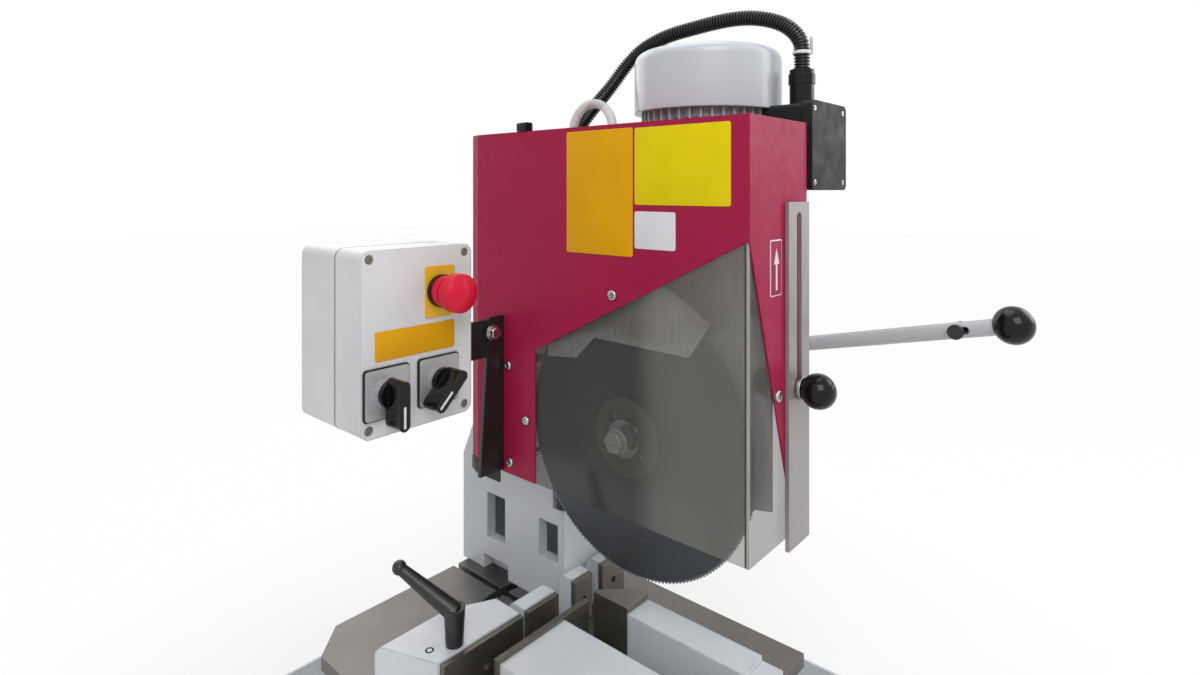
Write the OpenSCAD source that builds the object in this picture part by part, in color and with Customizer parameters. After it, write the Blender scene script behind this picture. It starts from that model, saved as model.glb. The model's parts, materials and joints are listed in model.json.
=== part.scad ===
// Vertical-feed cold saw: table with vise, swivelling column, saw head with hood, motor and feed lever.
// Frame: origin on the floor under the swivel axis, which is the centre of the floor bolt pattern.
// The operator stands at -Y, +X is the operator's right, the blade turns in the plane X = 0.

/* [Blade and spindle] */
// saw blade diameter
blade_d = 370; // [320:5:376]
// saw blade thickness
blade_t = 3; // [2:0.5:4]
// number of blade teeth
blade_teeth = 200; // [120:10:240]
// depth of a blade tooth
tooth_h = 3; // [2:0.5:5]
// arbor diameter, also the bore of the blade
arbor_d = 40; // [32:2:44]
// diameter of the two blade flanges
flange_d = 104; // [90:2:120]
// thickness of each blade flange
flange_t = 11; // [8:1:13]
// diameter of the drive pins
pin_d = 10; // [8:1:12]
// diameter of the pin circle
pin_circle = 64; // [60:2:72]
// number of drive pins
pin_count = 4; // [2:1:4]
// outer diameter of the spindle bearings
bearing_d = 62; // [58:1:66]
// width of the spindle bearings
bearing_w = 18; // [14:1:20]

/* [Feed] */
// height of the blade centre above the table, head up
spindle_rise = 308; // [300:1:320]
// travel of the head
feed_travel = 125; // [80:5:125]
// distance of the blade centre in front of the fence
fence_back = 110; // [100:1:120]
// tooth module of sector and rack
feed_module = 2.5; // [2:0.5:3]
// teeth on the full circle of the sector
feed_teeth = 96; // [90:2:98]
// width of the sector
sector_t = 14; // [10:1:14]
// feed shaft diameter
feed_shaft_d = 28; // [22:1:32]
// play between the teeth of sector and rack
feed_play = 0.5; // [0.3:0.1:0.8]
// distance from the feed shaft to the ball on the lever
lever_len = 437; // [380:1:450]
// rise of the lever above level with the head up
lever_rise = 13; // [0:1:20]
// lever tube diameter
lever_d = 20; // [16:1:24]
// lever ball diameter
lever_ball_d = 45; // [36:1:50]
// travel of the release pin
release_travel = 10; // [6:1:12]
// release pin diameter
release_d = 8; // [6:1:10]

/* [Worm drive] */
// tooth module of worm and wheel
worm_module = 2.8; // [2.6:0.1:2.8]
// teeth of the worm wheel
worm_teeth = 20; // [18:1:20]
// worm pitch diameter
worm_d = 28; // [27:0.5:30]
// length of the worm thread
worm_len = 56; // [40:1:60]
// face width of the worm wheel
wheel_w = 22; // [18:1:24]
// motor and worm shaft diameter
shaft_d = 18; // [14:1:18]

/* [Motor] */
// sideways place of the motor axis
motor_x = 120; // [116:1:124]
// outside diameter over the fins
fin_d = 186; // [176:1:190]
// motor frame diameter under the fins
frame_d = 160; // [156:1:164]
// number of fins
fin_count = 40; // [24:2:44]
// fin thickness
fin_t = 3; // [2:0.5:4]
// length of the motor frame
motor_len = 212; // [200:1:216]
// fan cowl diameter
cowl_d = 206; // [200:1:210]
// fan cowl height
cowl_h = 85; // [80:1:100]
// fan cowl wall
cowl_wall = 2; // [1.5:0.5:3]
// rotor diameter
rotor_d = 88; // [70:1:94]
// air gap on each side of the rotor
air_gap = 0.6; // [0.4:0.1:1]
// stator outer diameter
stator_d = 140; // [130:1:142]
// fan diameter
fan_d = 160; // [130:1:170]
// number of fan blades
fan_blades = 8; // [5:1:10]
// terminal box width
term_w = 110; // [100:1:116]
// terminal box height
term_h = 114; // [100:1:120]
// terminal box lid thickness
term_lid_t = 15; // [10:1:18]
// cable gland diameter
gland_d = 32; // [28:1:36]
// conduit outside diameter
conduit_d = 21; // [18:0.5:24]
// conduit bore
conduit_bore = 14; // [10:0.5:15]
// depth of the conduit ribs
rib_h = 1.6; // [1:0.1:2]
// number of conduit ribs
rib_count = 160; // [100:10:200]
// coolant hose outside diameter
hose_d = 13; // [10:0.5:14]
// coolant hose bore
hose_bore = 9; // [6:0.5:9]

/* [Blade hood] */
// hood length along the blade
hood_len = 462; // [440:1:480]
// hood height
hood_h = 498; // [480:1:510]
// hood edge above the blade centre
hood_top = 410; // [405:1:415]
// front face distance from the blade centre
hood_front = 200; // [196:1:206]
// left face distance from the blade
hood_left = 47; // [46:1:56]
// hood width at the front
hood_w = 145.5; // [140:0.5:148]
// sheet thickness
sheet_t = 2; // [1.5:0.5:3]
// window sheet thickness
window_t = 4; // [3:0.5:5]
// overlap of the window behind the sheet
window_lap = 12; // [8:1:16]
// depth of the return edge on the right
return_w = 28; // [15:1:40]
// guard strip width
strip_w = 56; // [50:1:60]
// guard strip length
strip_len = 412; // [390:1:420]
// guard strip thickness
strip_t = 5; // [3:0.5:6]
// width of the slot in the guard strip
strip_slot = 13; // [12.5:0.5:16]
// travel of the guard strip
strip_travel = 120; // [60:5:120]
// stud diameter of the guard strip
stud_d = 12; // [8:1:12]
// ball knob diameter
knob_d = 42; // [34:1:46]

/* [Control box] */
// box width
box_w = 132; // [126:1:140]
// box height
box_h = 183; // [176:1:190]
// depth of the rear shell
box_d = 70; // [60:1:80]
// depth of the lid
lid_d = 49; // [40:1:50]
// wall of shell and lid
box_wall = 3; // [2:0.5:4]
// corner radius
box_r = 10; // [6:1:14]
// side of the square switch plates
plate_w = 48; // [44:1:50]
// travel of the emergency stop
stop_travel = 6; // [3:1:8]
// mushroom diameter of the emergency stop
mushroom_d = 40; // [34:1:42]

/* [Table and vise] */
// height of the table above the floor of the tray
table_h = 150; // [140:1:180]
// table plate thickness
table_t = 18; // [15:1:22]
// width of the gap for the blade
blade_slot = 10; // [8:1:14]
// tray width
tray_w = 580; // [560:5:640]
// tray length
tray_len = 680; // [660:5:720]
// tray height
tray_h = 60; // [45:1:80]
// tray sheet thickness
tray_wall = 4; // [3:0.5:6]
// spacing of the floor bolts across
bolt_x = 440; // [400:5:480]
// spacing of the floor bolts along
bolt_y = 440; // [400:5:480]
// floor bolt hole diameter
bolt_d = 14; // [11:1:18]
// jaw and fence height
jaw_h = 68; // [60:1:74]
// thickness of the steel jaw faces
face_t = 8; // [5:1:10]
// opening of the vise as drawn
vise_gap = 36; // [30:1:40]
// further opening travel of the vise
vise_open = 60; // [30:1:60]
// vise screw diameter
screw_d = 20; // [16:1:24]
// handwheel diameter
wheel_d = 150; // [120:1:180]
// radius of the arc slot for the swivel bolts
swivel_r = 150; // [140:1:155]
// swivel bolt diameter
swivel_bolt = 16; // [12:1:16]
// range of the swivel
swivel_range = 45; // [30:5:45]

/* [Column] */
// column wall
column_wall = 18; // [12:1:22]
// width of a guide rail
rail_w = 18; // [14:1:20]
// strut tube diameter
strut_d = 18; // [14:1:18]
// strut rod diameter
rod_d = 10; // [8:1:10]

/* [Hidden] */
$fn = 48;

// clearances: shaft fit, sliding flats and curved faces of neighbours
fit = 0.05;
slip = 0.3;

// blade centre
by = -fence_back;
bz = table_h + spindle_rise;

// spindle stack along X
in0 = blade_t / 2;
in1 = in0 + flange_t;
case_x0 = 23;
wheel_x0 = motor_x - wheel_w / 2;
wheel_x1 = motor_x + wheel_w / 2;
brg_a = case_x0 + 3;
brg_b = wheel_x1 + 3;
arbor_end = brg_b + bearing_w + 2;
chamber_x0 = arbor_end + 4;
chamber_x1 = chamber_x0 + sector_t + 2;
case_x1 = chamber_x1 + 4;

// worm
wheel_r = worm_module * worm_teeth / 2;
worm_axis = wheel_r + worm_d / 2;
worm_y = by - worm_axis;
worm_pitch = PI * worm_module;
case_z0 = bz - 63;
case_z1 = bz + 207;
frame_z0 = case_z1 + 15;
frame_z1 = frame_z0 + motor_len;
cowl_z0 = frame_z1;
motor_r = max(fin_d / 2, frame_d / 2 + 4);
cowl_z1 = cowl_z0 + cowl_h;

// feed
feed_r = feed_module * feed_teeth / 2;
feed_y = by + 20;
feed_z = bz + 70;
rack_y = feed_y + feed_r;
feed_pitch = PI * feed_module;
rack_x0 = chamber_x0 + 1;
lever_x = case_x1 + 26;
release_at = lever_len - 60;
case_y0 = by - 115;
case_y1 = by + 96;

// column
post_y0 = rack_y + 32;
post_y1 = post_y0 + 138;
post_x0 = 40;
post_x1 = chamber_x1 + 8;
post_z1 = bz + 410;
foot_x0 = 25;
foot_x1 = 150;
foot_y0 = 40;
foot_y1 = 280;
foot_z0 = table_h + slip;
shelf_z = 300;
rail_x = [62, 110];
rail_y0 = post_y0 - 24;
slide_z0 = bz - 18;
slide_z1 = bz + 182;
slide_y1 = post_y0 - 16;
strut_x = 36;
strut_y = (foot_y0 + post_y0) / 2;
strut_z1 = shelf_z + feed_travel + 75;
lug_z = slide_z1 - 4;

// hood
hl = -hood_left;
hr = hl + hood_w;
hf = by - hood_front;
hb = hf + hood_len;
ht = bz + hood_top;
hbot = ht - hood_h;
cut_y = by + 136;
cut_z0 = bz + 101;
cut_z1 = bz + 271;
cut_x = hr - 34;
back_x0 = case_x0 - 3;
hose_x = back_x0 - hose_d / 2 - slip;
post_holes = [[by - 7, bz + blade_d / 2 + 7.5], [by + 191, bz + 70], [by + 187, hbot + 18]];
knob_x = 66;
knob_z = bz + 88;
strip_z0 = bz - 100;
strip_y1 = hf - slip;
strip_y0 = strip_y1 - strip_t;

// terminal box
term_x0 = hr + 5.5;
term_x1 = term_x0 + term_w;
term_z0 = bz + 326;
term_z1 = term_z0 + term_h;
term_lid_y = by - 190;
term_back = worm_y - 60;
gland_x = 155;
gland_y = by - 168;
gland_z = term_z1 + 47;

// conduit route, measured from the mouth of the gland on the terminal box
route_side = [0.947, 0.32, 0];
route = [[0, 0, -12], [0, 0, 22], [-1, 4, 43], [-5, 23, 63], [-11, 56, 76], [-18, 96, 80], [-27, 150, 75],
  [-37, 203, 65], [-45, 250, 42], [-67, 280, -5], [-91, 297, -41], [-107, 310, -73], [-113, 318, -110],
  [-114, 321, -155], [-114, 321, -200], [-114, 321, -240], [-114, 321, -275]];
route_cum = [for (i = [0 : len(route) - 1]) i == 0 ? 0 : norm_sum(i)];
route_len = route_cum[len(route) - 1];
route_end = [gland_x, gland_y, gland_z] + route[len(route) - 1];

// control box
bx1 = -239;
bx0 = bx1 - box_w;
box_z0 = bz + 85;
box_face = by + 36;
box_mid = box_face + lid_d;
box_back = box_mid + box_d;
arm_y = by + 202;
stop_x = -281;
stop_z = bz + 221;
plate_x = [-344, -283];
plate_z = bz + 128;

// vise
jaw_face = -vise_gap;
jaw_z0 = table_h + slip;
jaw_top = table_h + jaw_h;
yoke_y0 = -300;
yoke_y1 = -272;
screw_x = -30;
screw_z = table_h + 30;
bracket_y0 = yoke_y0 - vise_open - 40;
bracket_y1 = bracket_y0 + 20;
table_y0 = -272;
table_y1 = 268;
clamp_x = -189;
clamp_y = 22;
fence_x0 = -221;

// profile helpers: the profile is drawn as (y, z), (x, z) or (x, y)
module yz(x0, t) translate([x0, 0, 0]) rotate([90, 0, 90]) linear_extrude(t) children();
module xz(y0, t) translate([0, y0 + t, 0]) rotate([90, 0, 0]) linear_extrude(t) children();
module xy(z0, t) translate([0, 0, z0]) linear_extrude(t) children();
module rod_x(r, x0, x1, y, z) translate([x0, y, z]) rotate([0, 90, 0]) cylinder(r = r, h = x1 - x0);
module rod_y(r, y0, y1, x, z) translate([x, y0, z]) rotate([-90, 0, 0]) cylinder(r = r, h = y1 - y0);
module rod_z(r, z0, z1, x, y) translate([x, y, z0]) cylinder(r = r, h = z1 - z0);
module box(x0, x1, y0, y1, z0, z1) translate([x0, y0, z0]) cube([x1 - x0, y1 - y0, z1 - z0]);

// rectangle with round corners
module rrect(x0, x1, y0, y1, r) {
  translate([x0 + r, y0]) square([x1 - x0 - 2 * r, y1 - y0]);
  translate([x0, y0 + r]) square([x1 - x0, y1 - y0 - 2 * r]);
  for (x = [x0 + r, x1 - r], y = [y0 + r, y1 - r]) translate([x, y]) circle(r = r);
}

// involute gear outline
function inva(a) = tan(a) * 180 / PI - a;
function half_ang(r, m, z, play) =
  let (rp = m * z / 2, rb = rp * cos(20), rr = max(r, rb + 0.001))
  90 / z - play / (2 * rp) * 180 / PI / 2 + inva(20) - inva(acos(rb / rr));
function gear_radii(m, z, add, ded) =
  let (r0 = m * z / 2 - ded, r1 = m * z / 2 + add) [for (k = [0 : 4]) r0 + (r1 - r0) * k / 4];
function gear_tooth(i, m, z, add, ded, play) =
  let (rr = gear_radii(m, z, add, ded), a = i * 360 / z)
  concat([for (k = [0 : 4]) let (b = a - half_ang(rr[k], m, z, play)) rr[k] * [cos(b), sin(b)]],
    [for (k = [4 : -1 : 0]) let (b = a + half_ang(rr[k], m, z, play)) rr[k] * [cos(b), sin(b)]]);
function gear_run(i0, i1, m, z, add, ded, play) =
  [for (i = [i0 : i1]) each gear_tooth(i, m, z, add, ded, play)];

// closed tube surface from rings of 8 points
function unit(v) = v / norm(v);
function ring_at(c, t, r) =
  let (n = unit(cross(route_side, t)), w = cross(t, n))
  [for (k = [0 : 7]) c + r * (cos(45 * k) * w + sin(45 * k) * n)];
function skin(a, b) = [for (k = [0 : 7]) let (j = (k + 1) % 8) each [[a + k, b + j, b + k], [a + k, a + j, b + j]]];

// smooth line through the route points, by distance along it
function norm_sum(i) = i == 0 ? 0 : norm_sum(i - 1) + norm(route[i] - route[i - 1]);
function route_seg(d) = max([for (i = [0 : len(route) - 2]) route_cum[i] <= d ? i : 0]);
function route_xyz(d) =
  let (n = len(route) - 1, i = route_seg(d), u = (d - route_cum[i]) / (route_cum[i + 1] - route_cum[i]),
    p1 = route[i], p2 = route[i + 1], p0 = route[max(0, i - 1)], p3 = route[min(n, i + 2)])
  [gland_x, gland_y, gland_z] + 0.5 * (2 * p1 + (p2 - p0) * u + (2 * p0 - 5 * p1 + 4 * p2 - p3) * u * u
    + (3 * p1 - p0 - 3 * p2 + p3) * u * u * u);
function route_dirn(d) = unit(route_xyz(min(route_len, d + 0.5)) - route_xyz(max(0, d - 0.5)));

// Base

module chip_tray() color([0.80, 0.81, 0.80]) {
  difference() {
    xy(0, tray_h) rrect(-tray_w / 2, tray_w / 2, -330, -330 + tray_len, 30);
    xy(tray_wall, tray_h)
      rrect(-tray_w / 2 + tray_wall, tray_w / 2 - tray_wall, -330 + tray_wall, -330 + tray_len - tray_wall, 26);
    for (x = [-1, 1], y = [-1, 1]) rod_z(bolt_d / 2, -1, tray_wall + 1, x * bolt_x / 2, y * bolt_y / 2);
    rod_z(16, -1, tray_wall + 1, 0, -330 + tray_len - 50);
  }
}

module bed_casting() color([0.86, 0.87, 0.87]) {
  top = table_h - table_t;
  difference() {
    xy(tray_wall, top - tray_wall) polygon([[-205, -262], [160, -262], [160, 255], [-195, 255], [-245, 205], [-245, -200]]);
    xy(tray_wall - 1, top - tray_wall - 21)
      polygon([[-190, -246], [144, -246], [144, 239], [-188, 239], [-229, 198], [-229, -192]]);
    box(-22, 22, -222, -14, top - 25, top + 1);
    difference() {
      rod_z(swivel_r + 24, top - 16, top + 1, 0, 0);
      rod_z(swivel_r - 24, top - 17, top + 2, 0, 0);
      box(-400, 400, -400, 20, top - 17, top + 2);
    }
    for (x = [-160, 60]) box(x - 50, x + 50, -270, -240, tray_h + 5, top - 30);
  }
}

// arc slot of the swivel bolts
module arc_slot() {
  z0 = table_h - table_t - 1;
  difference() {
    rod_z(swivel_r + swivel_bolt / 2 + slip, z0, table_h + 1, 0, 0);
    rod_z(swivel_r - swivel_bolt / 2 - slip, z0 - 1, table_h + 2, 0, 0);
    xy(z0 - 2, table_t + 6) polygon([[0, 0], 400 * [cos(34), sin(34)], [400, -400], [-400, -400],
      400 * [cos(84 + swivel_range), sin(84 + swivel_range)]]);
  }
}

module table_left() color([0.55, 0.55, 0.54]) {
  difference() {
    xy(table_h - table_t, table_t) polygon([[-blade_slot / 2, table_y0], [-blade_slot / 2, table_y1],
      [-215, table_y1], [-261, 221], [-261, -200], [-215, table_y0]]);
    arc_slot();
  }
}

module table_right() color([0.55, 0.55, 0.54]) {
  difference() {
    xy(table_h - table_t, table_t) polygon([[blade_slot / 2, table_y0], [175, table_y0], [175, 221],
      [128, table_y1], [blade_slot / 2, table_y1]]);
    arc_slot();
  }
}

// fence block with a rounded back edge
module fence_block(x0, x1, depth) {
  r = min(14, (depth - face_t) / 2);
  yz(x0, x1 - x0) {
    translate([face_t, table_h]) square([depth - face_t, jaw_h - r]);
    translate([face_t, table_h + jaw_h - r]) square([depth - face_t - r, r]);
    translate([depth - r, table_h + jaw_h - r]) circle(r = r);
  }
}

module fence_left() color([0.90, 0.91, 0.91]) {
  difference() {
    fence_block(-262, -93, 96);
    rod_z(6 + fit, table_h + 20, jaw_top + 1, clamp_x, clamp_y);
    xy(table_h - 1, jaw_h + 2) polygon([[-263, 0], [fence_x0, 0], [fence_x0 - 35, 97], [-263, 97]]);
    xy(table_h - 1, jaw_h + 2) polygon([[-170, 97], [-92, 55], [-92, 97]]);
  }
}
module fence_blocks() color([0.90, 0.91, 0.91]) {
  fence_block(-84, -26, 40);
  fence_block(8, 45, 34);
  fence_block(68, 120, 34);
}

module fence_plates() color([0.30, 0.29, 0.28]) {
  for (p = [[fence_x0, -93], [-84, -26], [8, 45], [68, 120]]) {
    difference() {
      box(p[0], p[1], 0, face_t, table_h + 1, jaw_top - 2);
      rod_y(5, -1, 4, (p[0] + p[1]) / 2, table_h + jaw_h / 2);
    }
  }
}

module screw_bracket() color([0.86, 0.87, 0.87]) {
  difference() {
    union() {
      box(screw_x - 34, screw_x + 34, bracket_y0, -262, table_h - 62, table_h - 24);
      box(screw_x - 34, screw_x + 34, bracket_y0, bracket_y1, table_h - 62, screw_z);
      rod_y(34, bracket_y0, bracket_y1, screw_x, screw_z);
    }
    rod_y(screw_d / 2 + fit, bracket_y0 - 1, bracket_y1 + 1, screw_x, screw_z);
  }
}

// Vise

module left_jaw() color([0.90, 0.91, 0.91]) {
  difference() {
    box(-172, -60, yoke_y1, jaw_face - face_t, jaw_z0, jaw_top - 4);
    translate([-172, yoke_y1, 0]) rotate([0, 0, 45]) translate([-14, -14, table_h]) cube([28, 28, jaw_h]);
    box(-150, -82, -220, -70, jaw_z0 - 1, jaw_z0 + 40);
  }
}
module left_jaw_plate() color([0.45, 0.44, 0.43])
  box(-174, -12, jaw_face - face_t, jaw_face, jaw_z0, jaw_top);

module right_jaw() color([0.90, 0.91, 0.91]) {
  difference() {
    box(8, 54, yoke_y1, jaw_face - 60, jaw_z0, jaw_top - 8);
    box(18, 44, -230, -120, jaw_z0 - 1, jaw_z0 + 36);
  }
}
module right_jaw_block() color([0.45, 0.44, 0.43])
  xy(jaw_z0, jaw_h - slip) polygon([[8, jaw_face], [14, jaw_face], [54, jaw_face - 40], [54, jaw_face - 60],
    [8, jaw_face - 60]]);

module vise_yoke() color([0.86, 0.87, 0.87]) {
  difference() {
    union() {
      box(-172, 54, yoke_y0, yoke_y1, jaw_z0, jaw_top - 14);
      rod_y(26, yoke_y0 - 6, yoke_y1, screw_x, screw_z);
    }
    rod_y(screw_d / 2 + fit, yoke_y0 - 10, yoke_y1 + 1, screw_x, screw_z);
    box(screw_x - 40, screw_x + 40, yoke_y0 - 20, yoke_y1 + 10, table_h - 60, jaw_z0);
  }
}

module vise_screw() color([0.60, 0.60, 0.60]) {
  rod_y(screw_d / 2, bracket_y0 - 46, yoke_y1 + 40, screw_x, screw_z);
  rod_y(screw_d / 2 + 5, bracket_y0 - 8, bracket_y0 - slip, screw_x, screw_z);
  rod_y(screw_d / 2 + 5, bracket_y1 + slip, bracket_y1 + 8, screw_x, screw_z);
}

module handwheel() color([0.12, 0.12, 0.12]) {
  y1 = bracket_y0 - 10;
  translate([screw_x, y1 - 14, screw_z]) rotate([90, 0, 0]) {
    rotate_extrude() translate([wheel_d / 2 - 9, 0]) circle(r = 9, $fn = 32);
    for (a = [90 : 120 : 330]) rotate([0, 0, a]) translate([16, -6, -5]) cube([wheel_d / 2 - 24, 12, 10]);
    difference() {
      translate([0, 0, -14]) cylinder(r = 20, h = 28);
      translate([0, 0, -15]) cylinder(r = screw_d / 2 + fit, h = 30);
    }
    translate([0, wheel_d / 2 - 9, 0]) {
      cylinder(r = 6, h = 30);
      translate([0, 0, 20]) cylinder(r = 11, h = 46);
      translate([0, 0, 66]) sphere(r = 11);
    }
  }
}

module clamp_handle() color([0.10, 0.10, 0.10]) {
  translate([clamp_x, clamp_y, 0]) {
    translate([0, 0, table_h + 24]) cylinder(r = 6, h = jaw_h - 20);
    translate([0, 0, jaw_top + slip]) cylinder(r1 = 11, r2 = 13.5, h = 46, $fn = 32);
    translate([0, 0, jaw_top + 40]) rotate([0, 0, 122]) rotate([0, 56, 0]) {
      cylinder(r1 = 12, r2 = 7, h = 88, $fn = 32);
      translate([0, 0, 88]) sphere(r = 9, $fn = 32);
    }
  }
}

// Column

module column_casting() color([0.91, 0.92, 0.92]) {
  w = column_wall;
  difference() {
    union() {
      yz(foot_x0, foot_x1 - foot_x0) polygon([[foot_y0, foot_z0], [foot_y1, foot_z0], [foot_y1, 330],
        [post_y1 + 15, 470], [post_y0, 470], [post_y0, shelf_z], [foot_y0, shelf_z]]);
      xy(shelf_z, post_z1 - shelf_z) rrect(post_x0, post_x1, post_y0, post_y1, 6);
    }
    box(foot_x0 + w, foot_x1 - w, foot_y0 + 12, foot_y1 - w, foot_z0 + 20, shelf_z - 15);
    box(post_x0 + w, post_x1 - w, post_y0 + w, post_y1 - w, shelf_z - 16, post_z1 - 12);
    box(foot_x0 - 1, foot_x0 + w + 1, 172, 216, 206, 280);
    box(foot_x0 - 1, foot_x0 + w + 1, foot_y0 + 12, 92, 218, 275);
    box(foot_x0 - 1, foot_x0 + w + 1, 165, 224, foot_z0 - 1, foot_z0 + 23);
    for (a = [45, 64]) rod_z(swivel_bolt / 2 + fit, foot_z0 - 1, foot_z0 + 30,
      swivel_r * cos(a), swivel_r * sin(a));
  }
}

module guide_rails() color([0.62, 0.62, 0.62]) {
  for (x = rail_x) difference() {
    box(x, x + rail_w, rail_y0, post_y0, shelf_z, post_z1 - 10);
    for (z = [shelf_z + 30 : 70 : post_z1 - 40]) rod_y(4, rail_y0 - 1, rail_y0 + 8, x + rail_w / 2, z);
  }
}

module feed_rack() color([0.50, 0.50, 0.50]) {
  n0 = ceil((feed_travel + 26) / feed_pitch);
  n1 = 3;
  add = feed_module;
  ded = 1.25 * feed_module;
  hp = feed_pitch / 4 - feed_play / 4;
  tp = hp - add * tan(20);
  rp = hp + ded * tan(20);
  z0 = feed_z - n0 * feed_pitch;
  z1 = feed_z + n1 * feed_pitch;
  teeth = [for (k = [-n0 : n1 - 1]) let (z = feed_z + (k + 0.5) * feed_pitch) each
    [[rack_y + ded, z - rp], [rack_y - add, z - tp], [rack_y - add, z + tp], [rack_y + ded, z + rp]]];
  yz(rack_x0, sector_t) polygon(concat([[post_y0, z0], [rack_y + ded, z0]], teeth,
    [[rack_y + ded, z1], [post_y0, z1]]));
}

module swivel_bolts() color([0.35, 0.35, 0.36]) {
  for (a = [45, 64]) translate([swivel_r * cos(a), swivel_r * sin(a), 0]) {
    translate([0, 0, table_h - table_t - 12]) cylinder(r = swivel_bolt / 2, h = table_t + 12 + 40);
    translate([0, 0, table_h - table_t - 14]) cylinder(r = 15, h = 14 - slip);
    translate([0, 0, foot_z0 + 20]) cylinder(r = 13, h = 16, $fn = 6);
  }
}

module strut_tube() color([0.13, 0.13, 0.13]) {
  difference() {
    rod_z(strut_d / 2, shelf_z, strut_z1, strut_x, strut_y);
    rod_z(rod_d / 2 + fit, shelf_z + 4, strut_z1 + 1, strut_x, strut_y);
  }
}

module strut_rod() color([0.75, 0.75, 0.76])
  rod_z(rod_d / 2, shelf_z + feed_travel + 6, lug_z, strut_x, strut_y);

// Saw head

module head_housing() color([0.88, 0.89, 0.89]) {
  difference() {
    union() {
      xy(case_z0, case_z1 - case_z0) rrect(case_x0, case_x1, case_y0, case_y1, 20);
      rod_z(82, case_z1, frame_z0, motor_x, worm_y);
      rod_x(34, case_x1, case_x1 + 8, feed_y, feed_z);
    }
    rod_x(arbor_d / 2 + 2, case_x0 - 1, arbor_end + 2, by, bz);
    rod_x(bearing_d / 2 + fit, case_x0 - 1, brg_a + bearing_w, by, bz);
    rod_x(bearing_d / 2 + fit, brg_b, brg_b + bearing_w, by, bz);
    rod_x(wheel_r + worm_module + 4, wheel_x0 - 3, wheel_x1 + 3, by, bz);
    rod_z(worm_d / 2 + 5, bz - worm_len / 2 - 6, frame_z0 - 12, motor_x, worm_y);
    rod_z(shaft_d / 2 + fit, bz - worm_len / 2 - 20, frame_z0 + 1, motor_x, worm_y);
    rod_x(feed_r + feed_module + 1.5, chamber_x0, chamber_x1, feed_y, feed_z);
    rod_x(feed_shaft_d / 2 + fit, chamber_x0 - 14, case_x1 + 10, feed_y, feed_z);
  }
}

module head_slide() color([0.70, 0.71, 0.71]) {
  difference() {
    union() {
      box(rail_x[0] - 10, rail_x[1] + rail_w + 8, case_y1, slide_y1, slide_z0, slide_z1);
      box(strut_x - 10, rail_x[0] - slip, slide_y1 - 20, strut_y + 9, lug_z, slide_z1 + 10);
      box(strut_x - 10, rail_x[0] + 10, slide_y1 - 30, rail_y0 - 2, lug_z, slide_z1 + 10);
    }
    for (x = rail_x)
      box(x - slip, x + rail_w + slip, rail_y0 - slip, slide_y1 + 20, slide_z0 - 1, slide_z1 + 20);
  }
}

module spindle_bearings() color([0.68, 0.68, 0.69]) {
  for (x = [brg_a, brg_b]) difference() {
    rod_x(bearing_d / 2, x, x + bearing_w, by, bz);
    rod_x(arbor_d / 2 + fit, x - 1, x + bearing_w + 1, by, bz);
  }
}

module motor_frame() color([0.72, 0.73, 0.73]) {
  difference() {
    translate([motor_x, worm_y, 0]) {
      translate([0, 0, frame_z0]) cylinder(r = 82, h = 14);
      translate([0, 0, frame_z0 + 14]) linear_extrude(motor_len - 14) {
        circle(d = frame_d);
        for (i = [0 : fin_count - 1]) rotate(i * 360 / fin_count)
          translate([frame_d / 2 - 2, -fin_t / 2]) square([fin_d / 2 - frame_d / 2 + 2, fin_t]);
      }
      translate([0, 0, frame_z1 - 12]) cylinder(r = frame_d / 2 + 4, h = 12);
    }
    rod_z(shaft_d / 2 + fit, frame_z0 - 1, frame_z1 + 1, motor_x, worm_y);
    rod_z(stator_d / 2 + slip, frame_z0 + 14, frame_z1 - 12, motor_x, worm_y);
  }
}

module motor_stator() color([0.40, 0.40, 0.42]) {
  difference() {
    rod_z(stator_d / 2, frame_z0 + 45, frame_z1 - 40, motor_x, worm_y);
    rod_z(rotor_d / 2 + air_gap, frame_z0 + 44, frame_z1 - 39, motor_x, worm_y);
  }
}

module fan_cowl() color([0.84, 0.85, 0.85]) {
  r = cowl_d / 2;
  k = 15;
  translate([motor_x, worm_y, 0]) difference() {
    rotate_extrude() difference() {
      union() {
        translate([0, cowl_z0]) square([r, cowl_h - k]);
        translate([0, cowl_z0]) square([r - k, cowl_h]);
        translate([r - k, cowl_z1 - k]) circle(r = k);
      }
      translate([0, cowl_z0 + 4]) square([r - cowl_wall, cowl_h - k - 4]);
      translate([0, cowl_z0 + 4]) square([r - k, cowl_h - cowl_wall - 4]);
      translate([r - k, cowl_z1 - k]) circle(r = k - cowl_wall);
      translate([0, cowl_z0 - 1]) square([frame_d / 2 - 6, 6]);
    }
    for (q = [[30, 12], [44, 18], [58, 24], [72, 30]]) for (i = [0 : q[1] - 1]) rotate(i * 360 / q[1])
      translate([q[0], 0, cowl_z1 - 4]) cylinder(r = 4, h = 6);
  }
}

module terminal_box() color([0.09, 0.09, 0.10]) {
  difference() {
    xz(term_lid_y, term_back - term_lid_y) rrect(term_x0 + 3, term_x1 - 3, term_z0 + 3, term_z1 - 3, 6);
    xz(term_lid_y - 1, 45)
      rrect(term_x0 + 6, term_x1 - 6, term_z0 + 6, term_z1 - 6, 4);
    rod_z(motor_r + slip, term_z0 - 1, term_z1 + 1, motor_x, worm_y);
    rod_z(cowl_d / 2 + slip, cowl_z0 - 1, term_z1 + 1, motor_x, worm_y);
    rod_z(8, term_z1 - 10, term_z1 + 1, gland_x, gland_y);
  }
}

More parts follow.
